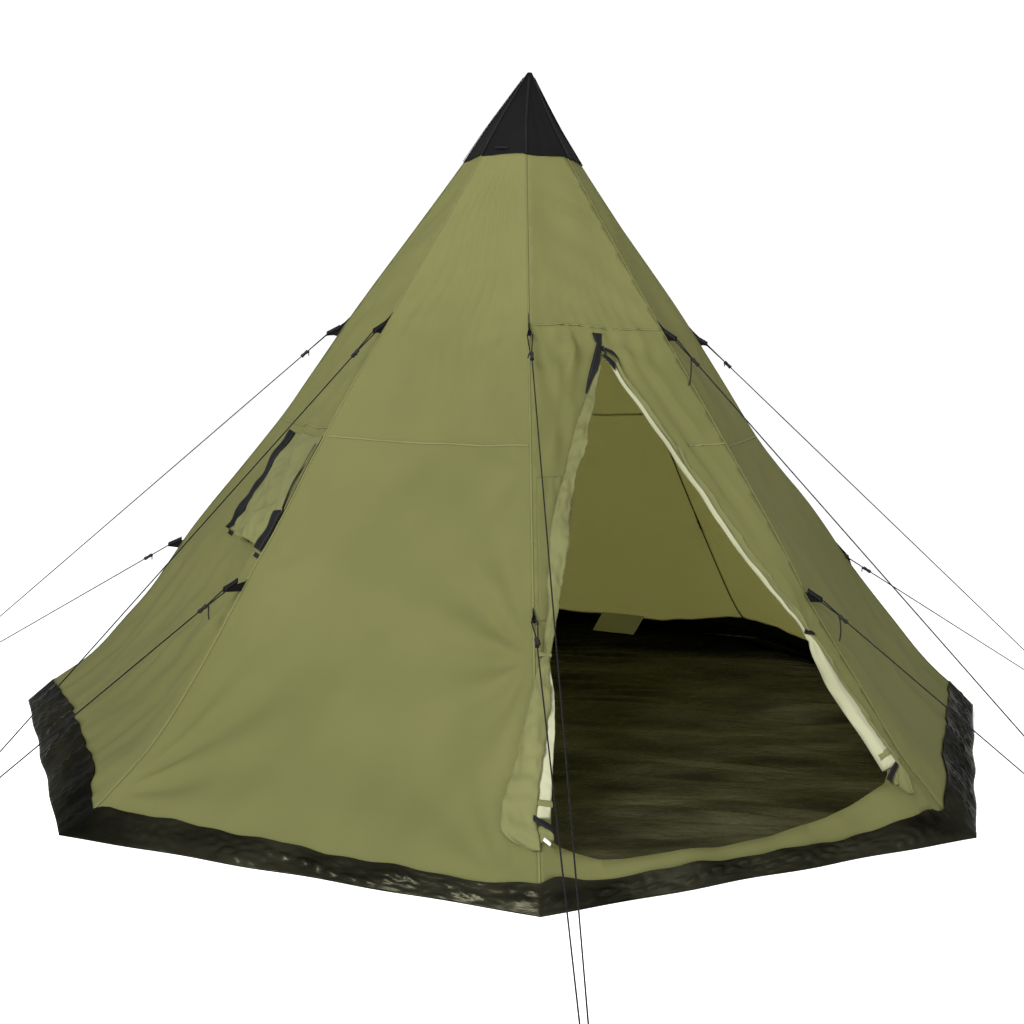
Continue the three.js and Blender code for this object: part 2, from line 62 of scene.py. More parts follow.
def add_camera():
    data = bpy.data.cameras.new("camera")
    data.sensor_width = SENSOR
    data.lens = LENS
    camera = bpy.data.objects.new("camera", data)
    place = Matrix.Rotation(CAMERA_TURN, 4, "Z") @ Matrix.Translation((0, -CAMERA_DISTANCE, CAMERA_HEIGHT))
    turn = (
        Matrix.Rotation(CAMERA_YAW, 4, "Z")
        @ Matrix.Rotation(math.pi / 2 + CAMERA_PITCH, 4, "X")
        @ Matrix.Rotation(CAMERA_ROLL, 4, "Z")
    )
    camera.matrix_world = place @ turn
    bpy.context.collection.objects.link(camera)
    bpy.context.scene.camera = camera


# ---------------------------------------------------------------- the tent's shape, as in the CAD
SIDES = 8
STEP = 2 * math.pi / SIDES
COS = math.cos(STEP / 2)
SIN = math.sin(STEP / 2)
BASE_RADIUS = 1.83
RIDGE_PROFILE = [
    (0.0, 2.36), (0.21, 2.045), (0.605, 1.5), (0.92, 1.075), (1.205, 0.695),
    (1.445, 0.385), (1.612, 0.18), (1.722, 0.098), (1.83, 0.0),
]
SKIRT_EDGES = [
    [
        (-1, 0.050), (-0.93, 0.060), (-0.86, 0.053), (-0.79, 0.041), (-0.63, 0.036), (-0.1, 0.036),
        (0.187, 0.035), (0.486, 0.045), (0.76, 0.053), (0.85, 0.058), (0.93, 0.045), (1, 0.044),
    ],
    [(-1, 0.044), (-0.9, 0.072), (-0.6, 0.092), (-0.2, 0.100), (0.55, 0.106), (1, 0.114)],
    [(-1, 0.114), (0, 0.118), (1, 0.120)],
    [(-1, 0.120), (-0.8, 0.108), (-0.53, 0.075), (-0.18, 0.052), (0.16, 0.048), (0.47, 0.058), (1, 0.085)],
    [(-1, 0.085), (0, 0.100), (1, 0.112)],
    [(-1, 0.112), (0, 0.106), (1, 0.072)],
    [
        (-1, 0.072), (-0.69, 0.083), (-0.1, 0.090), (0.24, 0.080),
        (0.6, 0.068), (0.72, 0.060), (0.78, 0.040), (1, 0.024),
    ],
    [
        (-1, 0.024), (-0.957, 0.036), (-0.7, 0.034), (-0.45, 0.033), (-0.1, 0.037), (0.05, 0.036),
        (0.2, 0.032), (0.5, 0.034), (0.8, 0.036), (0.9, 0.047), (1, 0.050),
    ],
]
DOOR_WALL, WINDOW_WALL, INNER_WALL = 0, 6, 3
RIDGE_NAMES = ["front", "front_right", "right", "back_right", "back", "back_left", "left", "front_left"]
WALL_NAMES = [
    "wall_door", "wall_right_front", "wall_right_back", "wall_back_right",
    "wall_back_left", "wall_left_back", "wall_window", "wall_front_left",
]
WALL_TOP = 2.16
CLOTH = 0.0012


def rounded(points, rounds=3):
    """Cuts the corners of an open line of points, keeping its ends."""
    for _ in range(rounds):
        fresh = [points[0]]
        for a, b in zip(points[:-1], points[1:]):
            fresh.append(tuple(0.75 * p + 0.25 * q for p, q in zip(a, b)))
            fresh.append(tuple(0.25 * p + 0.75 * q for p, q in zip(a, b)))
        points = fresh + [points[-1]]
    return points


SMOOTH_PROFILE = np.array(rounded(RIDGE_PROFILE)[::-1])


def radius_at(z):
    return np.interp(z, SMOOTH_PROFILE[:, 1], SMOOTH_PROFILE[:, 0])


def outward(turns):
    return np.array([math.sin(turns * STEP), -math.cos(turns * STEP), 0.0])


def sideways(turns):
    return np.array([math.cos(turns * STEP), math.sin(turns * STEP), 0.0])


def ridge_point(ridge, radius, height, aside=0.0):
    return outward(ridge) * radius + sideways(ridge) * aside + np.array([0, 0, height])


def waves(x, y, seed, size, count=7):
    """Smooth seeded undulation between about -1 and 1."""
    random = np.random.default_rng(seed)
    total = np.zeros(np.shape(x))
    for _ in range(count):
        angle = random.uniform(0, 2 * math.pi)
        length = size * random.uniform(0.6, 1.6)
        phase = random.uniform(0, 2 * math.pi)
        total = total + np.cos(2 * math.pi * (x * math.cos(angle) + y * math.sin(angle)) / length + phase)
    return total / math.sqrt(count)


def fan_folds(ds, dz, count, reach, phase):
    """Folds that radiate from a pulled point and die away."""
    away = np.hypot(ds, dz)
    return np.sin(count * np.arctan2(dz, ds) + phase) * np.exp(-away / reach) * away / (away + 0.06)


SAG = 0.014
WRINKLE = 0.008
WRINKLE_SIZES = (0.55, 0.18)
EDGE_FADE = 0.06
SLOPE_STEP = 0.03
CALM_UNDER_CAP = 2.03
PULLED_HEIGHTS = (1.44, 0.63, 0.05)
PULL_DEPTH = 0.0045
PULL_REACH = 0.22
RIDGE_PULLS = {
    1: (14, [
        (0, 0.05), (0.05, 0.06), (0.12, 0.045), (0.3, 0.02), (0.6, 0.03), (0.68, 0.015), (0.8, 0.004),
        (1.0, 0),
    ]),
    2: (2, [
        (0, 0), (0.12, -0.04), (0.25, -0.03), (0.36, -0.026), (0.48, -0.016), (0.6, -0.01), (0.71, -0.016),
        (0.825, -0.014), (0.94, 0.007), (1.05, 0.018), (1.16, 0.009), (1.27, 0), (1.49, -0.011),
        (1.6, -0.01), (1.82, 0),
    ]),
    6: (2, [
        (0, 0), (0.075, 0.012), (0.2, 0.033), (0.31, 0.032), (0.43, 0.044), (0.55, 0.029), (0.66, 0.016),
        (0.78, 0.017), (0.89, 0.024), (1.0, 0.028), (1.12, 0.031), (1.23, 0.021), (1.35, 0.013),
        (1.46, 0.003), (1.6, 0),
    ]),
    7: (1.7, [
        (0, 0.06), (0.05, 0.072), (0.10, 0.080), (0.26, 0.076), (0.40, 0.070), (0.576, 0.052), (0.67, 0.041),
        (0.745, 0.041), (0.82, 0.035), (0.90, 0.028), (0.98, 0.017), (1.06, 0.014), (1.2, 0.005), (1.4, 0),
    ]),
}
RIDGE_LIFTS = {2: 0.03}
CORNER_SHIFTS = {1: (-0.011, -0.014), 7: (0.010, -0.050)}
LEFT_WALL = 7
TIE_HEIGHT = 0.51
DOOR_TOP = 1.37
DOOR_LEFT_EDGE = np.array([(-0.02, 1.36), (-0.06, 1.262), (-0.11, 1.168), (-0.223, 1.005), (-0.298, 0.823)])
DOOR_RIGHT_EDGE = np.array([(0.02, 1.33), (0.19, 0.93), (0.28, 0.73), (0.43, 0.51), (0.46, 0.3), (0.5, 0.17)])


def smooth_table(points):
    return np.array(rounded(points, 2))


SMOOTH_EDGES = [smooth_table(edge) for edge in SKIRT_EDGES]
SMOOTH_PULLS = {ridge: smooth_table(pulls) for ridge, (_, pulls) in RIDGE_PULLS.items()}


def skirt_height(wall, u):
    """Height of the line where the wall's cloth meets the skirt."""
    edge = SMOOTH_EDGES[wall % SIDES]
    wavy = 0.0016 * np.sin(13 * u + 2.1 * wall) + 0.0014 * np.sin(31 * u + wall)
    return np.interp(u, edge[:, 0], edge[:, 1]) + wavy * (1 - u**2)


def across_at(line, z):
    """How far across a wall a falling line of (s, z) points is at a height."""
    return np.interp(z, line[::-1, 1], line[::-1, 0])


def door_wall_folds(s, z):
    """Long folds beside the door's right edge and from its top, and pulls at the right tie."""
    beside = np.clip(s - across_at(DOOR_RIGHT_EDGE, z), 0, 1)
    low = np.clip((1.46 - z) / 0.06, 0, 1)
    fade = np.exp(-beside / 0.16) * np.clip((z - 0.5) / 0.3, 0, 1) * low
    long_folds = 0.009 * np.sin(2 * math.pi * beside / 0.075 + 2.0 * z)
    long_folds = (long_folds + 0.004 * np.sin(2 * math.pi * beside / 0.031)) * fade
    top = 0.014 * fan_folds(s, z - 1.41, 9, 0.3, 0.6) * low
    left = across_at(DOOR_LEFT_EDGE, z) - 0.04
    left = np.clip((left - s) / 0.05, 0, 1) * low * np.clip((z - 0.85) / 0.1, 0, 1)
    lean = s - 0.42 * z
    facets = 0.022 * np.abs(waves(lean * 2.2, z * 0.6, 71, 0.17)) * left
    streaks = 0.0032 * np.sin(34 * s / half_at(z) + 1.5 * waves(s, z, 72, 0.5))
    streaks = streaks * np.clip((z - 1.36) / 0.12, 0, 1)
    tie = 0.019 * fan_folds(s - 0.43, z - TIE_HEIGHT, 8, 0.2, 1.0)
    corner = 0.014 * fan_folds(s - 0.6, z - 0.08, 9, 0.25, 0.2)
    calm = 1 - np.exp(-(s**2 + (z - DOOR_TOP) ** 2) / 0.06**2)
    return (long_folds + top + facets + tie + corner) * calm + streaks


def left_wall_folds(s, z, half):
    """Pulls on the wall left of the door, from the tie at the front ridge and the corner at the left."""
    pull = 0.026 * fan_folds(s - half, z - TIE_HEIGHT, 9, 0.3, 0.4)
    high = 0.008 * fan_folds(s - half, z - 1.0, 6, 0.3, 1.4)
    corner = 0.022 * fan_folds(s + half, z - 0.06, 13, 0.32, 0.9)
    hem = 0.010 * fan_folds(s - half + 0.1, z - 0.05, 9, 0.2, 0.3)
    streaks = 0.002 * np.sin(30 * s / half + 2 * waves(s, z, 73, 0.5)) * np.clip((z - 1.0) / 0.3, 0, 1)
    return pull + high + corner + hem + streaks


def window_wall_folds(s, z):
    """Slack around the window flap."""
    near = np.exp(-(((s - 0.2) / 0.3) ** 2 + ((z - 0.9) / 0.28) ** 2))
    low = np.clip((0.75 - z) / 0.25, 0, 1)
    drag = 0.006 * waves(s - 0.5 * z, 0.35 * z, 74, 0.13) * low
    return 0.008 * np.sin(2 * math.pi * (s * 0.8 + z) / 0.16) * near + drag


def wrinkles(wall, s, z, half):
    broad, fine = WRINKLE_SIZES
    folds = WRINKLE * waves(s, z, 10 + wall, broad) + 0.4 * WRINKLE * waves(s, z, 40 + wall, fine)
    for side in (-1, 1):
        for i, height in enumerate(PULLED_HEIGHTS):
            ds = side * half_at(height) - s
            fan = fan_folds(ds, z - height, 9 + 2 * i, PULL_REACH, wall + 2.1 * i + side)
            folds = folds + PULL_DEPTH * fan
    if wall == DOOR_WALL:
        folds = folds + door_wall_folds(s, z)
    elif wall == LEFT_WALL:
        folds = folds + left_wall_folds(s, z, half)
    elif wall == WINDOW_WALL:
        folds = folds + window_wall_folds(s, z)
    return folds * np.clip((CALM_UNDER_CAP - z) / 0.12, 0.1, 1)


def half_at(z):
    return radius_at(z) * SIN


def pulled_in(ridge, z):
    """How far a ridge is drawn in towards the pole at a height."""
    if ridge not in RIDGE_PULLS:
        return 0.0 * z
    pulls = SMOOTH_PULLS[ridge]
    return np.interp(z, pulls[:, 0], pulls[:, 1])


def ridge_line(ridge, heights, lift=0.0):
    heights = np.asarray(heights, float)
    radius = radius_at(heights) - pulled_in(ridge, heights) + lift
    points = radius[:, None] * outward(ridge)
    points[:, 2] = heights + lift
    return points


def wall_ridges(wall):
    """The ridges at a wall's left and right edges, each with its side."""
    return (wall, -1), ((wall + 1) % SIDES, 1)


def wall_points(wall, s, z, out=0.0):
    """Points on a wall: s along it from its middle line, z up, out from its face."""
    s, z, out = np.broadcast_arrays(np.asarray(s, float), np.asarray(z, float), np.asarray(out, float))
    radius = radius_at(z)
    half = np.maximum(radius * SIN, 1e-4)
    slope = (radius_at(z - SLOPE_STEP) - radius_at(z + SLOPE_STEP)) * COS / (2 * SLOPE_STEP)
    length = np.sqrt(1 + slope**2)
    u = np.clip(s / half, -1, 1)
    edge = (1 - np.abs(u)) * half
    fade = 1 - np.exp(-((edge / EDGE_FADE) ** 2))
    belly = np.clip((2.1 - z) / 0.8, 0, 1) * np.clip((z - 0.05) / 0.3, 0, 1)
    push = out - SAG * (1 - u**2) * belly + fade * wrinkles(wall, s, z, half)
    flat = radius * COS + push / length
    points = flat[..., None] * outward(wall + 0.5) + s[..., None] * sideways(wall + 0.5)
    points[..., 2] += z + push * slope / length
    for ridge, side in wall_ridges(wall):
        if ridge in RIDGE_PULLS:
            share = np.clip((1 + side * u) / 2, 0, 1) ** RIDGE_PULLS[ridge][0]
            points -= (pulled_in(ridge, z) * share)[..., None] * outward(ridge)
    return points


def on_wall(wall):
    """A function that places points of (s, z, out) on one wall."""
    return lambda s, z, out: wall_points(wall, s, z, out)


# ---------------------------------------------------------------- mesh helpers
WALL_SLANT = 2.2
WALL_BASE = 1.35
WALL_REACH = 0.75


def mesh_object(name, vertices, faces, surface, smooth=True):
    mesh = bpy.data.meshes.new(name)
    mesh.from_pydata([tuple(map(float, v)) for v in vertices], [], [tuple(map(int, f)) for f in faces])
    mesh.materials.append(surface)
    mesh.polygons.foreach_set("use_smooth", [smooth] * len(mesh.polygons))
    mesh.update()
    thing = bpy.data.objects.new(name, mesh)
    bpy.context.collection.objects.link(thing)
    return thing


def grid_faces(rows, columns, closed=False, flipped=False):
    faces = []
    for i in range(rows - 1):
        for j in range(columns if closed else columns - 1):
            k = (j + 1) % columns
            face = (i * columns + j, i * columns + k, (i + 1) * columns + k, (i + 1) * columns + j)
            faces.append(face[::-1] if flipped else face)
    return faces


def lay_map(thing, points):
    """Texture map of a grid: across it from 0 to 1, and along it in metres."""
    columns = points.shape[1]
    steps = np.linalg.norm(np.diff(points[:, columns // 2], axis=0), axis=1)
    along = np.concatenate([[0], np.cumsum(steps)])
    u, v = np.meshgrid(np.linspace(0, 1, columns), along)
    place = np.stack([u.ravel(), v.ravel()], axis=1)
    corners = np.empty(len(thing.data.loops), int)
    thing.data.loops.foreach_get("vertex_index", corners)
    layer = thing.data.uv_layers.new(name="along")
    layer.data.foreach_set("uv", place[corners].astype(np.float32).ravel())


def grid_object(name, points, surface, thickness=CLOTH, closed=False, offset=-1, lining=None):
    """points has the shape (rows, columns, 3); thickness makes it a closed shell."""
    rows, columns = points.shape[:2]
    thing = mesh_object(name, points.reshape(-1, 3), grid_faces(rows, columns, closed, True), surface)
    if not closed:
        lay_map(thing, points)
    if thickness:
        solidify(thing, thickness, offset, lining)
    return thing


def capped_tube(name, rings, surface):
    """Closed tube through rings of the shape (rows, around, 3), with a flat face at each end."""
    rows, around = rings.shape[:2]
    faces = grid_faces(rows, around, True)
    faces += [tuple(range(around))[::-1], tuple(range((rows - 1) * around, rows * around))]
    return mesh_object(name, rings.reshape(-1, 3), faces, surface)


def solidify(thing, thickness, offset=-1, lining=None):
    shell = thing.modifiers.new("shell", "SOLIDIFY")
    shell.thickness = thickness
    shell.offset = offset
    if lining:
        thing.data.materials.append(lining)
        shell.material_offset = 1


def assign(thing, node=None, body="tent"):
    """The body a piece rides on, the CAD solid it stands for, if any."""
    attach(thing, body)
    if node:
        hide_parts(node)


def resample(points, spacing):
    """Evenly spaced points along a line."""
    points = np.asarray(points, float)
    gaps = np.linalg.norm(np.diff(points, axis=0), axis=1)
    along = np.concatenate([[0], np.cumsum(gaps)])
    count = max(int(round(along[-1] / spacing)), 2)
    places = np.linspace(0, along[-1], count + 1)
    return np.stack([np.interp(places, along, points[:, i]) for i in range(points.shape[1])], axis=1)


def inside(points, outline):
    """True for each 2-D point inside a closed outline."""
    x, y = points[:, 0], points[:, 1]
    hit = np.zeros(len(points), bool)
    for (x0, y0), (x1, y1) in zip(outline, np.roll(outline, -1, axis=0)):
        if y0 == y1:
            continue
        crosses = (y0 > y) != (y1 > y)
        hit ^= crosses & (x < (x1 - x0) * (y - y0) / (y1 - y0) + x0)
    return hit


def cut_wall_mesh(wall, hole, spacing):
    """Triangles over a wall in (s, z), leaving a hole."""
    sides = []
    for side in (1, -1):
        foot = float(skirt_height(wall, np.array(float(side))))
        heights = np.linspace(WALL_TOP, foot, int(WALL_SLANT / spacing))
        sides.append([(side * float(half_at(z)), z) for z in heights])
    u = np.linspace(1, -1, int(WALL_BASE / spacing))[1:-1]
    bottom = [(float(v * half_at(z)), float(z)) for v, z in zip(u, skirt_height(wall, u))]
    border = np.array(sides[0] + bottom + sides[1][::-1])
    rim = resample(np.vstack([hole, hole[:1]]), spacing * 0.7)[:-1]
    s, z = np.meshgrid(np.arange(-WALL_REACH, WALL_REACH, spacing), np.arange(0.0, WALL_TOP, spacing))
    s[1::2] += spacing / 2
    inner = np.stack([s.ravel(), z.ravel()], axis=1)
    inner = inner[inside(inner, border) & ~inside(inner, rim)]
    edges = np.vstack([border, rim])
    gap = np.sqrt(((inner[:, None] - edges[None]) ** 2).sum(-1)).min(axis=1)
    inner = inner[gap > spacing * 0.5]
    points = np.vstack([border, rim, inner])
    n, m = len(border), len(rim)
    lines = [(i, (i + 1) % n) for i in range(n)] + [(n + i, n + (i + 1) % m) for i in range(m)]
    found = delaunay_2d_cdt([Vector(p) for p in points], lines, [], 0, 1e-6)
    flat = np.array([tuple(p) for p in found[0]])
    faces = np.array([list(f) for f in found[2]])
    middle = flat[faces].mean(axis=1)
    return flat, faces[inside(middle, border) & ~inside(middle, rim)]


# ---------------------------------------------------------------- materials
MOTTLE_STOPS = (0.35, 0.68)
TOP_LIGHT_HEIGHTS = (0.9, 1.9)
SHEET_EDGE_TINT = (0.16, 0.16, 0.13)
FAR_SHADE_SPAN = (0.60, 1.00)
STITCH_ROWS = (0.2, 0.8)
STITCH_WIDTH = 0.045
STITCH_SHARE = 0.62
THREAD_DEPTH = 0.0006
GRAIN_SCALE = 400.0
GRAIN_DEPTH = 0.0005


def node_material(name):
    surface = bpy.data.materials.new(name)
    surface.use_nodes = True
    tree = surface.node_tree
    return surface, tree, tree.nodes["Principled BSDF"]


def add_node(tree, kind, **values):
    node = tree.nodes.new(kind)
    for key, value in values.items():
        if key in node.inputs:
            node.inputs[key].default_value = value
        else:
            setattr(node, key, value)
    return node


def value_along(tree, coordinates, axis, low, high, first, last):
    """A value that goes from first to last between two places on an axis."""
    place = add_node(tree, "ShaderNodeSeparateXYZ")
    tree.links.new(coordinates, place.inputs[0])
    share = add_node(tree, "ShaderNodeMapRange")
    for socket, value in zip(share.inputs[1:5], (low, high, first, last)):
        socket.default_value = value
    tree.links.new(place.outputs[axis], share.inputs[0])
    return share.outputs[0]


def scaled_along(tree, coordinates, colour, axis, low, high, first, last):
    """Colour multiplied by a factor that goes from first to last between two places on an axis."""
    scaled = add_node(tree, "ShaderNodeVectorMath", operation="SCALE")
    tree.links.new(colour, scaled.inputs[0])
    tree.links.new(value_along(tree, coordinates, axis, low, high, first, last), scaled.inputs["Scale"])
    return scaled.outputs[0]


def set_inputs(shader, roughness, gloss):
    shader.inputs["Roughness"].default_value = roughness
    shader.inputs["Specular IOR Level"].default_value = gloss


def add_bump(tree, shader, height, strength, distance):
    bump = add_node(tree, "ShaderNodeBump", Strength=strength, Distance=distance)
    tree.links.new(height, bump.inputs["Height"])
    tree.links.new(bump.outputs["Normal"], shader.inputs["Normal"])


def add_noise(tree, coordinates, **values):
    noise = add_node(tree, "ShaderNodeTexNoise", **values)
    tree.links.new(coordinates, noise.inputs["Vector"])
    return noise.outputs["Fac"]


def mottled(tree, coordinates, dark, light, scale, detail=4.0):
    ramp = add_node(tree, "ShaderNodeValToRGB")
    for stop, place, colour in zip(ramp.color_ramp.elements, MOTTLE_STOPS, (dark, light)):
        stop.position = place
        stop.color = (*colour, 1)
    tree.links.new(add_noise(tree, coordinates, Scale=scale, Detail=detail), ramp.inputs["Fac"])
    return ramp.outputs["Color"]


def math_node(tree, operation, *values):
    node = add_node(tree, "ShaderNodeMath", operation=operation)
    for socket, value in zip(node.inputs, values):
        if isinstance(value, (int, float)):
            socket.default_value = value
        else:
            tree.links.new(value, socket)
    return node.outputs[0]


def weave_height(tree, coordinates, scale):
    """Crossed threads, as the sum of two fine waves."""
    threads = []
    for direction in ("X", "Z"):
        wave = add_node(tree, "ShaderNodeTexWave", Scale=scale, Distortion=0.4, bands_direction=direction)
        tree.links.new(coordinates, wave.inputs["Vector"])
        threads.append(wave.outputs["Fac"])
    return math_node(tree, "ADD", *threads)


def cloth_material(
    name, dark, light, glow, roughness=0.72, sheen=0.0, share=0.3, weave=260.0, gloss=0.05, pale=None
):
    """Thin woven cloth that lets some light through; glow is the colour of that light."""
    surface, tree, shader = node_material(name)
    coordinates = add_node(tree, "ShaderNodeTexCoord").outputs["Object"]
    colour = mottled(tree, coordinates, dark, light, 2.2)
    # Painted light: pale lightens the colour towards the top of the wall.
    if pale:
        colour = scaled_along(tree, coordinates, colour, 2, *TOP_LIGHT_HEIGHTS, 1.0, pale)
    tree.links.new(colour, shader.inputs["Base Color"])
    set_inputs(shader, roughness, gloss)
    shader.inputs["Sheen Weight"].default_value = sheen
    add_bump(tree, shader, weave_height(tree, coordinates, weave), 0.12, THREAD_DEPTH)
    if share:
        through = add_node(tree, "ShaderNodeBsdfTranslucent", Color=(*glow, 1))
        mix = add_node(tree, "ShaderNodeMixShader", Fac=share)
        tree.links.new(shader.outputs[0], mix.inputs[1])
        tree.links.new(through.outputs[0], mix.inputs[2])
        tree.links.new(mix.outputs[0], tree.nodes["Material Output"].inputs["Surface"])
    return surface


def stitched_material(name, dark, light, thread, per_metre=150.0):
    """Ribbon cloth with rows of sewn dashes along it, placed by the ribbon's own map."""
    surface, tree, shader = node_material(name)
    coordinates = add_node(tree, "ShaderNodeTexCoord")
    place = add_node(tree, "ShaderNodeSeparateXYZ")
    tree.links.new(coordinates.outputs["UV"], place.inputs[0])
    across, along = place.outputs[0], place.outputs[1]
    dash = math_node(tree, "FRACT", math_node(tree, "MULTIPLY", along, per_metre))
    dash = math_node(tree, "LESS_THAN", dash, STITCH_SHARE)
    lines = []
    for row in STITCH_ROWS:
        off = math_node(tree, "ABSOLUTE", math_node(tree, "SUBTRACT", across, row))
        lines.append(math_node(tree, "LESS_THAN", off, STITCH_WIDTH))
    mask = math_node(tree, "MULTIPLY", math_node(tree, "MAXIMUM", *lines), dash)
    colour = mottled(tree, coordinates.outputs["Object"], dark, light, 9.0)
    mix = add_node(tree, "ShaderNodeMix", data_type="RGBA")
    first, second = [socket for socket in mix.inputs if socket.type == "RGBA"]
    mixed = [socket for socket in mix.outputs if socket.type == "RGBA"][0]
    second.default_value = (*thread, 1)
    tree.links.new(mask, mix.inputs[0])
    tree.links.new(colour, first)
    tree.links.new(mixed, shader.inputs["Base Color"])
    add_bump(tree, shader, mask, 0.5, THREAD_DEPTH)
    set_inputs(shader, 0.75, 0.05)
    return surface


def plastic_sheet_material(name, dark, light, gloss, roughness, crease, stretch, shine=0.0, far_shade=None):
    """Crinkled plastic sheet; stretch draws its creases out along an axis, and an optional factor darkens its
    colour and gloss towards the back as painted shade.
    """
    surface, tree, shader = node_material(name)
    place = add_node(tree, "ShaderNodeMapping", Scale=stretch)
    tree.links.new(add_node(tree, "ShaderNodeTexCoord").outputs["Object"], place.inputs["Vector"])
    coordinates = place.outputs["Vector"]
    colour = mottled(tree, coordinates, dark, light, 7.0, 6.0)
    # Painted shade: colour and gloss darken towards the back of the floor.
    if far_shade:
        colour = scaled_along(tree, coordinates, colour, 1, *FAR_SHADE_SPAN, 1.0, far_shade)
        shaded_gloss = value_along(tree, coordinates, 1, *FAR_SHADE_SPAN, gloss, gloss * far_shade)
        tree.links.new(shaded_gloss, shader.inputs["Specular IOR Level"])
    tree.links.new(colour, shader.inputs["Base Color"])
    set_inputs(shader, roughness, gloss)
    shader.inputs["Metallic"].default_value = shine
    shader.inputs["Specular Tint"].default_value = (*SHEET_EDGE_TINT, 1)
    crinkle = add_noise(tree, coordinates, Scale=17.0, Detail=6.0, Roughness=0.6)
    add_bump(tree, shader, crinkle, 0.5, crease)
    return surface


def plain_material(name, dark, light, roughness, metallic=0.0, scale=60.0, grain=0.0, gloss=0.5):
    surface, tree, shader = node_material(name)
    coordinates = add_node(tree, "ShaderNodeTexCoord").outputs["Object"]
    colour = mottled(tree, coordinates, dark, light, scale)
    tree.links.new(colour, shader.inputs["Base Color"])
    set_inputs(shader, roughness, gloss)
    shader.inputs["Metallic"].default_value = metallic
    if grain:
        noise = add_noise(tree, coordinates, Scale=GRAIN_SCALE, Detail=3.0)
        add_bump(tree, shader, noise, grain, GRAIN_DEPTH)
    return surface


add_camera()

# The wall cloth's colour is lightened towards the top as painted light.
GREEN = cloth_material(
    "green_polyester_look", (0.128, 0.131, 0.050), (0.147, 0.150, 0.058), (0.27, 0.262, 0.078),
    share=0.5, pale=1.28,
)
# Inside face of the same wall cloth, given a lighter colour than the outside as painted light inside the
# tent.
LIT_GREEN_INSIDE = cloth_material(
    "green_inside_look", (0.21, 0.21, 0.08), (0.24, 0.24, 0.095), (0.99, 0.98, 0.93), share=0.88, gloss=0.0,
)
GREEN_LINED = cloth_material(
    "green_lined_look", (0.084, 0.086, 0.035), (0.104, 0.106, 0.043), (0.2, 0.2, 0.06), share=0.1,
)
GREEN_SEAM = stitched_material(
    "green_seam_look", (0.088, 0.090, 0.034), (0.100, 0.102, 0.039), (0.118, 0.120, 0.052),
)
GREEN_SEAM_FAINT = stitched_material(
    "green_faint_seam_look", (0.080, 0.082, 0.031), (0.090, 0.092, 0.036), (0.100, 0.102, 0.043),
)
GREEN_TAPE_INSIDE = stitched_material(
    "green_inner_tape_look", (0.045, 0.044, 0.017), (0.062, 0.060, 0.022), (0.09, 0.09, 0.045),
)
BLACK_CLOTH = cloth_material(
    "black_polyester_look", (0.0034, 0.0034, 0.0036), (0.0058, 0.0058, 0.006), (0, 0, 0),
    roughness=0.7, share=0.0, gloss=0.02,
)
WEBBING = stitched_material(
    "black_webbing_look", (0.0042, 0.0042, 0.0046), (0.0075, 0.0075, 0.008), (0.018, 0.018, 0.018),
    per_metre=260.0,
)
BLACK_SEAM = stitched_material(
    "black_seam_look", (0.0045, 0.0045, 0.0047), (0.007, 0.007, 0.0072), (0.018, 0.018, 0.018),
)
NET = cloth_material(
    "cream_net_look", (0.20, 0.203, 0.125), (0.27, 0.272, 0.18), (0.4, 0.4, 0.26),
    roughness=0.85, sheen=0.05, share=0.12, weave=420.0,
)
PALE_TAPE = cloth_material(
    "pale_tape_look", (0.40, 0.40, 0.34), (0.48, 0.48, 0.43), (0.5, 0.5, 0.4),
    roughness=0.8, sheen=0.05, share=0.0, weave=420.0,
)
SKIRT_PLASTIC = plastic_sheet_material(
    "groundsheet_skirt_look", (0.0050, 0.0049, 0.0032), (0.024, 0.0235, 0.0150),
    gloss=0.02, roughness=0.31, crease=0.007, stretch=(0.4, 0.4, 1.5), shine=0.7,
)
# The floor is the same plastic sheet as the skirt, given a lighter colour as painted light inside the tent.
LIT_FLOOR_PLASTIC = plastic_sheet_material(
    "groundsheet_floor_look", (0.0078, 0.0077, 0.0038), (0.036, 0.0352, 0.0168),
    gloss=0.18, roughness=0.40, crease=0.050, stretch=(0.36, 1, 1), far_shade=0.04,
)
BLACK_PLASTIC = plain_material(
    "black_plastic_look", (0.005, 0.005, 0.005), (0.010, 0.010, 0.010), roughness=0.5, grain=0.2, gloss=0.12,
)
STEEL = plain_material(
    "pole_steel_look", (0.33, 0.34, 0.35), (0.46, 0.47, 0.48),
    roughness=0.32, metallic=1.0, scale=35, grain=0.15,
)
PEG_STEEL = plain_material(
    "peg_steel_look", (0.24, 0.25, 0.26), (0.4, 0.41, 0.42),
    roughness=0.4, metallic=1.0, scale=90, grain=0.3,
)
CORD = plain_material(
    "guy_cord_look", (0.004, 0.004, 0.0045), (0.012, 0.012, 0.013),
    roughness=0.9, scale=500, grain=0.6, gloss=0.05,
)
# Painted light: the inner patch's colour is raised well above the tent cloth's to stand in for light reaching
# it inside the tent.
PATCH = cloth_material("inner_patch_look", (0.34, 0.34, 0.27), (0.38, 0.38, 0.3), (0.6, 0.6, 0.3), share=0.15)


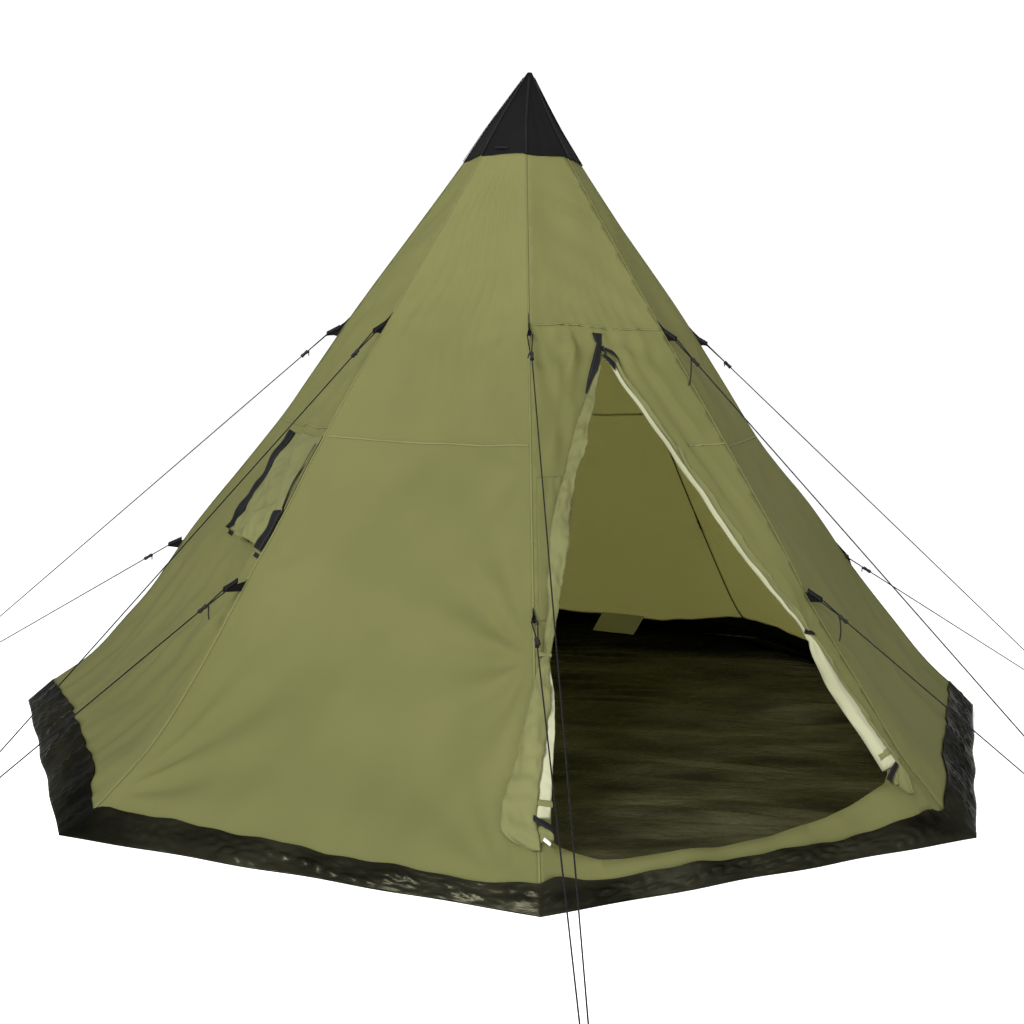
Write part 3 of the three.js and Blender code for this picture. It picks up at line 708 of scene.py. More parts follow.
# ---------------------------------------------------------------- guys
EYES = {"upper": (0.708, 1.405), "lower": (1.292, 0.606)}
EYE_ASIDE = 0.0015
EYE_BEND = 0.0085
SLIDER_DISTANCE = {"upper": 0.112, "lower": 0.092}
SLIDER_LENGTH = 0.032
KNOT_AHEAD = 0.004
KNOT_OFFSET = 0.0045
TAIL_BEND = 0.009
CORD_DIAMETER = 0.004
PEG_SPOTS = [(2.375, 0.048), (2.26, 0), (2.28, 0)] + [(2.26, 0)] * 5
PEG_TURN = 0.0081
CORD_AT_PEG = 0.02
CORD_SIDE = {"upper": 1, "lower": -1}
TAILS = {("front_right", "upper"): 0.080, ("front_right", "lower"): 0.073, ("front_left", "lower"): 0.035}
SHORT_TAIL = 0.012
TAIL_SWING = 0.16
TURN_STEPS = 8
LOOP_STEPS = 22
TAIL_STEPS = 12
CORD_SIDES = 8
FIRST_SIDE = (0.31, 0.17, 0.93)
LEVELS = ("upper", "lower")


def unit(v):
    return v / np.linalg.norm(v)


def eye_point(ridge, level):
    radius, height = EYES[level]
    return ridge_point(ridge, radius, height, EYE_ASIDE)


def peg_point(ridge, height):
    radius, aside = PEG_SPOTS[ridge]
    return ridge_point(ridge, radius, height, aside)


def guy_direction(ridge, level):
    side = peg_point(ridge, CORD_AT_PEG) + sideways(ridge) * CORD_SIDE[level] * PEG_TURN
    return unit(side - eye_point(ridge, level))


def slider_centre(ridge, level):
    return eye_point(ridge, level) + guy_direction(ridge, level) * SLIDER_DISTANCE[level]


def half_turn(centre, ahead, aside, radius, start, end):
    angles = np.linspace(start, end, TURN_STEPS + 1)
    return [centre + ahead * radius * math.cos(a) + aside * radius * math.sin(a) for a in angles]


def curve_object(name, points, radius, surface):
    data = bpy.data.curves.new(name, "CURVE")
    data.dimensions = "3D"
    data.bevel_depth = radius
    data.bevel_resolution = 3
    data.use_fill_caps = True
    spline = data.splines.new("POLY")
    spline.points.add(len(points) - 1)
    for point, place in zip(spline.points, points):
        point.co = (*map(float, place), 1)
    data.materials.append(surface)
    thing = bpy.data.objects.new(name, data)
    bpy.context.collection.objects.link(thing)
    return thing


def eye_turn(ridge, level):
    """The cord's turn through the fin's eye, from the knot's side to the slider's bore side."""
    ahead = guy_direction(ridge, level)
    aside = sideways(ridge) * CORD_SIDE[level]
    centre = eye_point(ridge, level) + ahead * EYE_BEND
    return half_turn(centre, -ahead, aside, EYE_BEND, -math.pi / 2, math.pi / 2)


def add_guy(ridge):
    """The long cord: down from the upper fin through its slider, round the peg and up to the lower fin."""
    peg = peg_point(ridge, CORD_AT_PEG)
    round_peg = half_turn(peg, outward(ridge), sideways(ridge), PEG_TURN, math.pi / 2, -math.pi / 2)
    runs = {}
    for level in LEVELS:
        reach = guy_direction(ridge, level) * SLIDER_LENGTH / 2
        middle = slider_centre(ridge, level)
        runs[level] = [*eye_turn(ridge, level), middle - reach, middle + reach]
    points = runs["upper"] + round_peg + runs["lower"][::-1]
    line = curve_object(f"guy_line_{RIDGE_NAMES[ridge]}", points, CORD_DIAMETER / 2, CORD)
    assign(line, f"guy_{RIDGE_NAMES[ridge]}")


def tube_object(name, points, radius, surface):
    """Round mesh tube along a line, its rings kept from twisting."""
    points = np.asarray(points, float)
    tangents = np.gradient(points, axis=0)
    tangents /= np.linalg.norm(tangents, axis=1)[:, None]
    side = unit(np.cross(tangents[0], FIRST_SIDE))
    rings = []
    angles = np.linspace(0, 2 * math.pi, CORD_SIDES, endpoint=False)
    for place, tangent in zip(points, tangents):
        side = unit(side - tangent * (side @ tangent))
        other = np.cross(tangent, side)
        rings.append([place + radius * (math.cos(a) * side + math.sin(a) * other) for a in angles])
    return capped_tube(name, np.array(rings), surface)


def add_loop_end(ridge, level):
    """The cord's own end: back from the fin to the slider, knotted there, with its tail hanging."""
    ahead = guy_direction(ridge, level)
    aside = sideways(ridge) * CORD_SIDE[level]
    start = eye_turn(ridge, level)[0]
    slider_end = slider_centre(ridge, level) - ahead * SLIDER_LENGTH / 2
    knot = slider_end - ahead * KNOT_AHEAD - aside * KNOT_OFFSET
    points = [start + (knot - start) * t for t in np.linspace(0, 1, LOOP_STEPS)]
    out_of_knot = aside * -0.6 + np.array([0, 0, -0.8])
    hang = TAILS.get((RIDGE_NAMES[ridge], level), SHORT_TAIL)
    swing = np.random.default_rng(700 + 10 * ridge + LEVELS.index(level)).uniform(-TAIL_SWING, TAIL_SWING)
    for t in np.linspace(0.1, 1, TAIL_STEPS):
        turn = TAIL_BEND * (1 - math.exp(-4 * t))
        curl = sideways(ridge) * swing * hang * t * t + ahead * hang * 0.10 * math.sin(2.6 * t)
        points.append(knot + unit(out_of_knot) * turn + np.array([0, 0, -hang * t]) + curl)
    name = f"guy_end_{RIDGE_NAMES[ridge]}_{level}"
    line = tube_object(name, points, CORD_DIAMETER / 2, CORD)
    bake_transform(line)


for ridge in range(SIDES):
    add_guy(ridge)
    for level in LEVELS:
        add_loop_end(ridge, level)


# ---------------------------------------------------------------- walls
HOLE_SPACING = 0.019
WALL_ROWS = 170
WALL_COLUMNS = 84
WALL_FOOT = 0.07
LEAST_AREA_SHARE = 0.31
DOOR_AREA = 0.85
WINDOW_AREA = 0.13
DOOR_OUTLINE = np.array([
    (-0.012, 1.335), (-0.063, 1.262), (-0.110, 1.168), (-0.156, 1.090), (-0.223, 1.005), (-0.260, 0.915),
    (-0.298, 0.823), (-0.374, 0.700), (-0.430, 0.573), (-0.470, 0.500), (-0.483, 0.429), (-0.548, 0.253),
    (-0.588, 0.160), (-0.606, 0.126), (-0.556, 0.102), (-0.493, 0.083), (-0.426, 0.074), (-0.314, 0.071),
    (-0.144, 0.069), (0.025, 0.074), (0.226, 0.092), (0.329, 0.108), (0.474, 0.134), (0.503, 0.150),
    (0.509, 0.172), (0.466, 0.316), (0.430, 0.499), (0.427, 0.518), (0.288, 0.725), (0.191, 0.931),
    (0.069, 1.186), (0.012, 1.325),
])
WINDOW_OUTLINE = np.array([(0.0, 1.045), (0.325, 1.045), (0.410, 0.755), (0.030, 0.755)])


def wall_flat_size():
    """Base width and length of a wall laid flat, and its area."""
    heights = np.linspace(WALL_FOOT, WALL_TOP, 60)
    line = np.stack([radius_at(heights) * COS, heights], axis=1)
    steps = np.linalg.norm(np.diff(line, axis=0), axis=1)
    widths = 2 * half_at(heights)
    area = float((steps * (widths[:-1] + widths[1:]) / 2).sum())
    return (float(widths[0]), float(steps.sum())), area


def declare_wall(thing, wall, hole_area=0.0):
    flat, area = wall_flat_size()
    area = max(area - hole_area, LEAST_AREA_SHARE * flat[0] * flat[1])
    assign(thing, WALL_NAMES[wall])


def add_plain_wall(wall):
    u = np.linspace(-1, 1, WALL_COLUMNS)
    low = skirt_height(wall, u)
    share = np.linspace(0, 1, WALL_ROWS)[:, None]
    z = WALL_TOP + (low[None, :] - WALL_TOP) * share
    s = u[None, :] * half_at(z)
    thing = grid_object(f"cloth_{WALL_NAMES[wall]}", wall_points(wall, s, z), GREEN, lining=LIT_GREEN_INSIDE)
    declare_wall(thing, wall)


def add_cut_wall(wall, outline, hole_area):
    flat, faces = cut_wall_mesh(wall, outline, HOLE_SPACING)
    points = wall_points(wall, flat[:, 0], flat[:, 1])
    thing = mesh_object(f"cloth_{WALL_NAMES[wall]}", points, faces, GREEN)
    solidify(thing, CLOTH, lining=LIT_GREEN_INSIDE)
    declare_wall(thing, wall, hole_area)


for wall in range(SIDES):
    if wall == DOOR_WALL:
        add_cut_wall(wall, DOOR_OUTLINE, DOOR_AREA)
    elif wall == WINDOW_WALL:
        add_cut_wall(wall, WINDOW_OUTLINE, WINDOW_AREA)
    else:
        add_plain_wall(wall)


# ---------------------------------------------------------------- seams
RIBBON = 0.0008
SEAM_LIFT = 0.0006
SEAM_REACH = 0.0034
SEAM_TOP = 2.06
SEAM_FOOT_GAP = 0.004
SEAM_END_GAP = 0.006
TAPE_REACH = 0.004
TAPE_HEIGHTS = (2.0, 0.13)
TAPE_OUT = (-0.004, -0.006)
HIGHLIGHT_RIDGE = 7
BACK_RIDGES = range(2, 6)
LEVEL_SEAM_LIFT = 0.0018
LEVEL_SEAM_WIDTH = 0.006
LEVEL_SEAM_HEIGHTS = (1.437, 1.065, 1.12, 1.12, 1.12, 1.12, 1.09, 1.065)
DOOR_SIDE_SEAM = (1.07, 0.57)


def ribbon(name, points, surface, slot="green_polyester", node=None, body="tent"):
    assign(grid_object(name, np.asarray(points), surface, RIBBON, offset=0), node, body)


def ridge_strip(ridge, heights, reach, out, middle_out):
    """Strip folded over a ridge, reaching a little way onto the walls beside it."""
    left = wall_points((ridge - 1) % SIDES, half_at(heights) - reach, heights, out)
    right = wall_points(ridge, -half_at(heights) + reach, heights, out)
    return np.stack([left, ridge_line(ridge, heights, middle_out), right], axis=1)


def add_ridge_seam(ridge):
    heights = np.linspace(SEAM_TOP, SKIRT_EDGES[ridge][0][1] + SEAM_FOOT_GAP, 110)
    strip = ridge_strip(ridge, heights, SEAM_REACH, SEAM_LIFT, SEAM_LIFT)
    # The front-left ridge's seam takes the lighter seam colour, a painted highlight along that ridge.
    surface = GREEN_SEAM if ridge == HIGHLIGHT_RIDGE else GREEN_SEAM_FAINT
    ribbon(f"seam_ridge_{RIDGE_NAMES[ridge]}", strip, surface)


def add_inner_tape(ridge):
    """Narrow dark binding inside, down a back ridge."""
    strip = ridge_strip(ridge, np.linspace(*TAPE_HEIGHTS, 90), TAPE_REACH, *TAPE_OUT)
    ribbon(f"tape_ridge_{RIDGE_NAMES[ridge]}", strip, GREEN_TAPE_INSIDE)


def add_level_seam(wall, height, start=-1.0):
    """Seam across a wall at a height, from a share of its half width to the right ridge."""
    half = float(half_at(height))
    s = np.linspace(start * half + SEAM_END_GAP, half - SEAM_END_GAP, 60)
    edges = [height + side * LEVEL_SEAM_WIDTH / 2 for side in (1, 0, -1)]
    points = np.stack([wall_points(wall, s, z, LEVEL_SEAM_LIFT) for z in edges], axis=1)
    surface = GREEN_SEAM_FAINT if wall == WINDOW_WALL else GREEN_SEAM
    ribbon(f"seam_level_{WALL_NAMES[wall]}_{round(height * 1000)}", points, surface)


for ridge in range(SIDES):
    add_ridge_seam(ridge)
    if ridge in BACK_RIDGES:
        add_inner_tape(ridge)
for wall, height in enumerate(LEVEL_SEAM_HEIGHTS):
    add_level_seam(wall, height)
    if wall == DOOR_WALL:
        add_level_seam(wall, *DOOR_SIDE_SEAM)


# ---------------------------------------------------------------- fins
FIN_OUTLINES = {
    "upper": [
        (0.62, 1.48), (0.648, 1.452), (0.682, 1.425), (0.712, 1.411), (0.712, 1.399), (0.69, 1.401),
        (0.672, 1.398),
    ],
    "lower": [
        (1.2, 0.676), (1.228, 0.652), (1.262, 0.624), (1.297, 0.611), (1.297, 0.6), (1.27, 0.594),
        (1.25, 0.57),
    ],
}
FIN_THICKNESS = 0.0022
FIN_ROOT_DEPTH = 0.001
TAB_REACH = 0.046
TAB_RISE = {"upper": 0.028, "lower": 0.024}
TAB_PAST_EYE = (0.003, 0.001)
TAB_HALF = 0.008
TAB_FLATNESS = 0.6
TAB_SWELL = 0.0022
LOOP_SWELL = 0.0016
LOOP_FROM = 5


def add_fin(ridge, level):
    """Black cloth triangle standing on a ridge, with a folded webbing tab at its tip."""
    outline = list(FIN_OUTLINES[level])
    tip = max(r for r, z in outline)
    for i, (r, z) in enumerate(outline):
        root = float(radius_at(z)) - FIN_ROOT_DEPTH
        if i in (0, len(outline) - 1):
            r = root
        share = min(1.0, (tip - r) / (tip - root))
        outline[i] = (r - float(pulled_in(ridge, z)) * share, z)
    n = len(outline)
    flanks = (-FIN_THICKNESS / 2, FIN_THICKNESS / 2)
    vertices = [ridge_point(ridge, r, z, aside) for aside in flanks for r, z in outline]
    faces = [tuple(range(n))[::-1], tuple(range(n, 2 * n))]
    faces += [(i, (i + 1) % n, n + (i + 1) % n, n + i) for i in range(n)]
    name = f"{RIDGE_NAMES[ridge]}_{level}"
    assign(mesh_object(f"fin_{name}", vertices, faces, BLACK_CLOTH, smooth=False))
    add_fin_tab(ridge, level, name)


def add_fin_tab(ridge, level, name):
    """Webbing folded over the fin's tip, its loop round the cord's turn."""
    radius, height = EYES[level]
    start = np.array([radius - TAB_REACH, height + TAB_RISE[level]])
    end = np.array([radius, height]) + TAB_PAST_EYE
    rows = []
    for i, t in enumerate(np.linspace(0, 1, 9)):
        r, z = start * (1 - t) + end * t
        swell = TAB_SWELL + LOOP_SWELL * max(0, i - LOOP_FROM)
        edge = TAB_FLATNESS * swell
        half = [(TAB_HALF, -edge), (0, -swell), (-TAB_HALF, -edge)]
        section = half + [(up, -aside) for up, aside in half[::-1]]
        rows.append([ridge_point(ridge, r, z + up, aside) for up, aside in section])
    ribbon(f"fin_tab_{name}", rows, WEBBING, "black_webbing")


for ridge in range(SIDES):
    for level in LEVELS:
        add_fin(ridge, level)


# ---------------------------------------------------------------- rolled cloth at the door
ROLL_BACK = 0.006
ROLL_SIDES = 36
LINED = (GREEN_LINED, "green_polyester")
NETTING = (NET, "cream_net")
WEB = (WEBBING, "black_webbing")
on_door_wall = on_wall(DOOR_WALL)


def around_front_ridge(s, z, out):
    """Points on the door wall, carried on round the front ridge where s runs past the wall's left edge."""
    s, z, out = np.broadcast_arrays(s, z, out)
    half = half_at(z)
    door = wall_points(DOOR_WALL, np.maximum(s, -half), z, out)
    beside = wall_points(LEFT_WALL, np.minimum(2 * half + s, half), z, out)
    share = np.clip((s + half) / 0.05 + 0.5, 0, 1)[..., None]
    return door * share + beside * (1 - share)


def power(values, exponent):
    return np.sign(values) * np.abs(values) ** exponent


def add_roll(name, node, stations, place, looks, lift, crumple, rows, seed):
    """Flattened roll of cloth; each station holds height, left edge, right edge and depth."""
    track = resample(rounded(stations, 2), 0.004)
    height, left, right, depth = resample(track, float(np.ptp(track[:, 0])) / rows).T[:, :, None]
    angle = np.linspace(0, 2 * math.pi, ROLL_SIDES, endpoint=False)[None, :]
    across, up = np.cos(angle), np.sin(angle)
    s = (left + right) / 2 + (right - left) / 2 * power(across, 0.8)
    out = lift + np.where(up > 0, depth, ROLL_BACK) * power(up, 0.7)
    layer = 0.0018 * np.tanh((across + 0.35) * 26) + 0.0012 * np.tanh((across - 0.5) * 22)
    width = across * (right - left) / 2
    sharp = np.abs(waves(height * 1.2 + width, width, seed + 2, 0.05))
    creases = crumple * (waves(height, width, seed, 0.07) + 1.2 * sharp)
    strength = np.clip(depth / 0.012, 0.2, 1)
    out = out + np.where(up > 0.2, layer + creases, 0) * strength
    s = s + 0.5 * crumple * waves(height + 0 * angle, across * 0.05, seed + 1, 0.09)
    surface, slot = looks
    assign(capped_tube(name, place(s, height + 0 * angle, out), surface), node)


FLAP_LEFT = [
    (1.345, -0.024, -0.013, 0.003), (1.30, -0.058, -0.040, 0.005), (1.262, -0.088, -0.060, 0.007),
    (1.214, -0.116, -0.085, 0.009), (1.152, -0.159, -0.120, 0.011), (1.105, -0.198, -0.145, 0.014),
    (1.05, -0.228, -0.175, 0.013), (0.995, -0.259, -0.222, 0.012), (0.938, -0.302, -0.254, 0.014),
    (0.87, -0.345, -0.292, 0.015), (0.80, -0.378, -0.317, 0.016), (0.75, -0.394, -0.340, 0.016),
    (0.67, -0.424, -0.381, 0.015), (0.60, -0.452, -0.417, 0.012), (0.553, -0.472, -0.447, 0.010),
    (0.516, -0.490, -0.473, 0.007), (0.495, -0.508, -0.478, 0.010), (0.437, -0.548, -0.489, 0.018),
    (0.371, -0.588, -0.518, 0.022), (0.308, -0.622, -0.551, 0.024), (0.228, -0.680, -0.591, 0.026),
    (0.168, -0.722, -0.629, 0.026), (0.138, -0.744, -0.636, 0.022), (0.124, -0.735, -0.640, 0.016),
    (0.110, -0.672, -0.648, 0.009),
]
FLAP_RIGHT = [
    (1.32, 0.020, 0.045, 0.005), (1.2, 0.062, 0.090, 0.008), (1.08, 0.128, 0.158, 0.009),
    (0.93, 0.203, 0.236, 0.010), (0.77, 0.280, 0.312, 0.010), (0.61, 0.366, 0.397, 0.009),
    (0.53, 0.420, 0.438, 0.007), (0.51, 0.430, 0.444, 0.005), (0.47, 0.440, 0.464, 0.009),
    (0.40, 0.456, 0.485, 0.012), (0.364, 0.468, 0.496, 0.013), (0.287, 0.502, 0.530, 0.014),
    (0.206, 0.524, 0.556, 0.016), (0.17, 0.528, 0.570, 0.017), (0.126, 0.512, 0.562, 0.014),
    (0.10, 0.530, 0.556, 0.008),
]
NET_LEFT = [
    (0.505, -0.484, -0.475, 0.004), (0.47, -0.488, -0.477, 0.006), (0.437, -0.502, -0.482, 0.010),
    (0.371, -0.532, -0.498, 0.014), (0.308, -0.562, -0.526, 0.016), (0.228, -0.607, -0.560, 0.018),
    (0.165, -0.642, -0.590, 0.018),
]
NET_RIGHT = [
    (1.325, 0.006, 0.014, 0.003), (1.204, 0.047, 0.057, 0.005), (1.081, 0.111, 0.123, 0.007),
    (0.931, 0.186, 0.199, 0.008), (0.769, 0.258, 0.271, 0.007), (0.611, 0.349, 0.361, 0.007),
    (0.53, 0.406, 0.420, 0.007), (0.512, 0.417, 0.430, 0.005), (0.498, 0.420, 0.438, 0.009),
    (0.46, 0.414, 0.442, 0.014), (0.40, 0.411, 0.460, 0.018), (0.369, 0.414, 0.472, 0.020),
    (0.283, 0.448, 0.506, 0.022), (0.207, 0.470, 0.526, 0.022), (0.158, 0.491, 0.534, 0.019),
]
TAIL_LEFT = [(0.150, -0.634, -0.598, 0.016), (0.138, -0.640, -0.600, 0.015), (0.124, -0.642, -0.604, 0.010)]
TAIL_RIGHT = [(0.146, 0.500, 0.526, 0.012), (0.136, 0.500, 0.524, 0.011), (0.124, 0.504, 0.516, 0.008)]

# name, CAD solid, stations, place, looks, lift, crumple, rows
ROLLS = [
    ("flap_cloth_left", "door_flap_left", FLAP_LEFT, around_front_ridge, LINED, 0.001, 0.0045, 130),
    ("flap_cloth_right", "door_flap_right", FLAP_RIGHT, on_door_wall, LINED, 0.001, 0.004, 130),
    ("net_roll_left", "door_net_left", NET_LEFT, around_front_ridge, NETTING, -0.002, 0.0012, 130),
    ("net_roll_right", "door_net_right", NET_RIGHT, on_door_wall, NETTING, 0.0, 0.0012, 130),
    ("flap_tail_left", None, TAIL_LEFT, around_front_ridge, LINED, 0.002, 0.002, 16),
    ("flap_tail_right", None, TAIL_RIGHT, on_door_wall, LINED, 0.002, 0.002, 16),
]

for i, roll in enumerate(ROLLS):
    add_roll(*roll, seed=61 + i)


# ---------------------------------------------------------------- tapes, ties and straps at the door
def band_between(place, left, right, out, columns=7, crown=0.002):
    """Strip between two lines of (s, z) points, crowned a little across."""
    left, right = np.array(left, float), np.array(right, float)
    out = np.broadcast_to(np.asarray(out, float), len(left))
    share = np.linspace(0, 1, columns)
    s = left[:, :1] * (1 - share) + right[:, :1] * share
    z = left[:, 1:] * (1 - share) + right[:, 1:] * share
    return place(s, z, out[:, None] + crown * np.sin(np.pi * share)[None, :])


def band_along(place, line, widths, out, spacing, crown):
    """Strip along a line of (s, z) points, with its own width at each."""
    widths, out = (np.broadcast_to(values, len(line)) for values in (widths, out))
    data = resample(np.column_stack([line, widths, out]), spacing)
    centre = data[:, :2]
    ahead = np.gradient(centre, axis=0)
    ahead /= np.linalg.norm(ahead, axis=1)[:, None]
    across = np.column_stack([-ahead[:, 1], ahead[:, 0]]) * data[:, 2:3] / 2
    return band_between(place, centre + across, centre - across, data[:, 3], crown=crown)


ZIP_TAPE_LEFT = [
    (-0.029, 1.414), (-0.026, 1.397), (-0.020, 1.383), (-0.039, 1.354), (-0.064, 1.319), (-0.085, 1.286),
    (-0.102, 1.254), (-0.117, 1.222),
]
ZIP_TAPE_RIGHT = [
    (0.010, 1.416), (0.004, 1.399), (-0.001, 1.382), (-0.019, 1.350), (-0.038, 1.315), (-0.060, 1.285),
    (-0.084, 1.259), (-0.115, 1.219),
]
ZIP_TAPE_OUT = (0.004, 0.004, 0.005, 0.008, 0.012, 0.014, 0.014, 0.010)
SEWN = (GREEN_SEAM, "green_polyester")
PALE = (PALE_TAPE, "cream_net")
RIBBON_WIDTHS = (0.009, 0.015, 0.017, 0.003)
RIBBON_OUT = (0.005, 0.012, 0.015, 0.010)
# name, CAD solid, looks, place, line, widths, out, spacing, crown
DOOR_BANDS = [
    (
        "zip_ribbon_1", None, WEB, on_door_wall,
        [(0.005, 1.368), (0.018, 1.353), (0.036, 1.335), (0.046, 1.310)],
        RIBBON_WIDTHS, RIBBON_OUT, 0.003, 0.003,
    ),
    (
        "zip_ribbon_2", None, WEB, on_door_wall,
        [(-0.010, 1.346), (0.000, 1.330), (0.008, 1.311), (0.014, 1.294)],
        RIBBON_WIDTHS, RIBBON_OUT, 0.003, 0.003,
    ),
    (
        "tie_left", "door_tie_left", SEWN, around_front_ridge,
        [(-0.503, 0.519), (-0.466, 0.515)], 0.011, (0.010, 0.012), 0.003, 0.002,
    ),
    (
        "tie_right", "door_tie_right", WEB, on_door_wall,
        [(0.409, 0.523), (0.426, 0.516), (0.444, 0.513)], 0.010, (0.010, 0.014, 0.010), 0.003, 0.002,
    ),
    (
        "strap_left", "door_strap_left", WEB, around_front_ridge,
        [(-0.640, 0.161), (-0.620, 0.151), (-0.600, 0.137)], 0.013, (0.026, 0.027, 0.021), 0.004, 0.002,
    ),
    (
        "strap_right", "door_strap_right", WEB, on_door_wall,
        [(0.474, 0.131), (0.500, 0.145), (0.526, 0.158)], 0.012, (0.018, 0.027, 0.023), 0.004, 0.002,
    ),
    (
        "tape_end_left", None, PALE, around_front_ridge,
        [(-0.630, 0.126), (-0.622, 0.115)], 0.008, 0.018, 0.003, 0.002,
    ),
    (
        "net_band_left", None, LINED, around_front_ridge,
        [(-0.620, 0.196), (-0.578, 0.188)], 0.013, (0.019, 0.016), 0.004, 0.002,
    ),
    (
        "net_band_right", None, LINED, on_door_wall,
        [(0.484, 0.182), (0.508, 0.188), (0.534, 0.194)], 0.013, (0.014, 0.026, 0.018), 0.004, 0.002,
    ),
]
HEM_HEIGHTS = (0.975, 0.6)
HEM_FROM_RIDGE = 0.018
HEM_OUT = 0.0012
HEM_CROWN = 0.0008
HEM_UNDER_FLAP = np.array([(-0.262, 0.98), (-0.285, 0.938), (-0.325, 0.87), (-0.375, 0.75), (-0.440, 0.6)])


def add_zip_tape():
    """Folded tape at the door's top, where the zip ends."""
    tape = band_between(on_door_wall, ZIP_TAPE_LEFT, ZIP_TAPE_RIGHT, ZIP_TAPE_OUT)
    ribbon("zip_tape_top", tape, *WEB)


def add_door_bands():
    """Ribbons of the zip, the ties and straps round the rolls, and the tape ends beside them."""
    for name, node, (surface, slot), place, line, widths, out, spacing, crown in DOOR_BANDS:
        ribbon(name, band_along(place, line, widths, out, spacing, crown), surface, slot, node)


def add_door_hem():
    """Stitched panel between the front ridge and the rolled flap."""
    heights = np.linspace(*HEM_HEIGHTS, 60)
    left = np.column_stack([-half_at(heights) + HEM_FROM_RIDGE, heights])
    right = np.column_stack([across_at(HEM_UNDER_FLAP, heights), heights])
    ribbon("door_hem_left", band_between(on_door_wall, left, right, HEM_OUT, 12, HEM_CROWN), GREEN)


add_zip_tape()
add_door_bands()
add_door_hem()


# ---------------------------------------------------------------- window
WINDOW_TOP = 1.062
WINDOW_FOOT = 0.727
NET_HEIGHTS = (1.056, 0.744)
STRIP_FOOT = np.array([
    (-0.028, 1.060), (-0.010, 1.0), (-0.008, 0.931), (0.014, 0.878), (0.050, 0.831), (0.066, 0.787),
    (0.020, 0.726),
])
STRIP_OUT = 0.005
STRIP_LEAN = 0.014
STRIP_RISE = 0.027
RIGHT_STRIP_HEIGHTS = (0.832, 0.708)
RIGHT_STRIP_LEAN = 0.013
RIGHT_STRIP_RISE = 0.025
TOGGLE_HALF = 0.006
TOGGLE_LEAN = 0.007
TOGGLE_RISE = 0.013
GAP_HEIGHTS = (1.034, 0.834)
GAP_TOP = 1.035
GAP_SPAN = 0.205
GAP_LEAST = 0.006
GAP_SWELL = 0.034
GAP_SHADE_OUT = 0.003
EDGE_TAPE_HALF = 0.004
EDGE_TAPE_OUT = 0.010
NET_INSET = 0.004
TOGGLES = ((0.050, 0.719), (float(half_at(0.694)), 0.694))
on_window_wall = on_wall(WINDOW_WALL)


def window_gap(z):
    """How far the flap's right edge stands back from the ridge."""
    return GAP_LEAST + GAP_SWELL * np.sin(np.pi * np.clip((GAP_TOP - z) / GAP_SPAN, 0, 1)) ** 0.8


def window_rumple(s, z, across):
    """How far the slack window flap stands off the wall."""
    low = np.clip((WINDOW_TOP - z) / 0.3, 0, 1)
    facets = np.abs(waves(s * 1.3, z, 88, 0.17)) + 0.6 * np.abs(waves(s * 1.4, z * 0.8, 89, 0.09))
    return 0.004 + 0.023 * low * facets * np.sin(np.pi * np.clip(across, 0.03, 0.97)) ** 0.6


def add_window():
    share = np.linspace(0, 1, 64)[None, :]
    rows = np.linspace(0, 1, 70)[:, None]
    low = WINDOW_FOOT - 0.013 * share + 0.003 * np.sin(11 * share)
    z = WINDOW_TOP + (low - WINDOW_TOP) * rows
    left, right = across_at(STRIP_FOOT, z), half_at(z) - window_gap(z)
    s = left * (1 - share) + right * share
    cloth = grid_object("window_cloth", on_window_wall(s, z, window_rumple(s, z, share)), GREEN_LINED)
    assign(cloth, "window_flap", "window_flap")


def window_tape(name, points):
    ribbon(name, points, *WEB, body="window_flap")


def standing_band(foot, lean, rise):
    """Band on the window wall whose near edge follows foot and whose far edge leans left and stands out."""
    share = np.linspace(0, 1, 6)[None, :]
    rise = np.broadcast_to(rise, len(foot))[:, None]
    s = foot[:, :1] - lean * share
    z = foot[:, 1:] + 0 * share
    return on_window_wall(s, z, STRIP_OUT + rise * np.sin(share * math.pi / 2))


def add_window_strips():
    """Black edge tapes of the flap, curled outwards, and the small toggles below them."""
    foot = resample(STRIP_FOOT, 0.005)
    along = np.linspace(0, 1, len(foot))
    rise = STRIP_RISE * (0.62 + 0.22 * np.sin(9 * along + 0.4) + 0.10 * np.sin(23 * along + 2.0))
    window_tape("window_strip_left", standing_band(foot, STRIP_LEAN, rise))
    heights = np.linspace(*RIGHT_STRIP_HEIGHTS, 30)
    along = np.linspace(0, 1, len(heights))
    foot = np.column_stack([half_at(heights) - 0.002, heights])
    rise = RIGHT_STRIP_RISE * np.clip(along / 0.12, 0.1, 1) * (0.9 + 0.12 * np.sin(9 * along))
    window_tape("window_strip_right", standing_band(foot, RIGHT_STRIP_LEAN, rise))
    for i, (s, z) in enumerate(TOGGLES):
        foot = np.column_stack([np.full(6, s), np.linspace(z + TOGGLE_HALF, z - TOGGLE_HALF, 6)])
        window_tape(f"window_toggle_{i + 1}", standing_band(foot, TOGGLE_LEAN, TOGGLE_RISE))


def add_window_gap():
    """Dark ribbon between the flap and the ridge, painted shade in the gap there, and the tape on the flap's
    edge there.
    """
    heights = np.linspace(*GAP_HEIGHTS, 44)
    edge = half_at(heights) - window_gap(heights)
    lines = (edge - EDGE_TAPE_HALF, edge + EDGE_TAPE_HALF, half_at(heights) - 0.003)
    inner, outer, ridge = (np.column_stack([s, heights]) for s in lines)
    # Painted shade: a dark ribbon fills the gap between the flap's edge and the ridge.
    ribbon("window_gap_painted_shade", band_between(on_window_wall, inner, ridge, GAP_SHADE_OUT), GREEN_TAPE_INSIDE)
    window_tape("window_edge_tape", band_between(on_window_wall, inner, outer, EDGE_TAPE_OUT, crown=0.001))


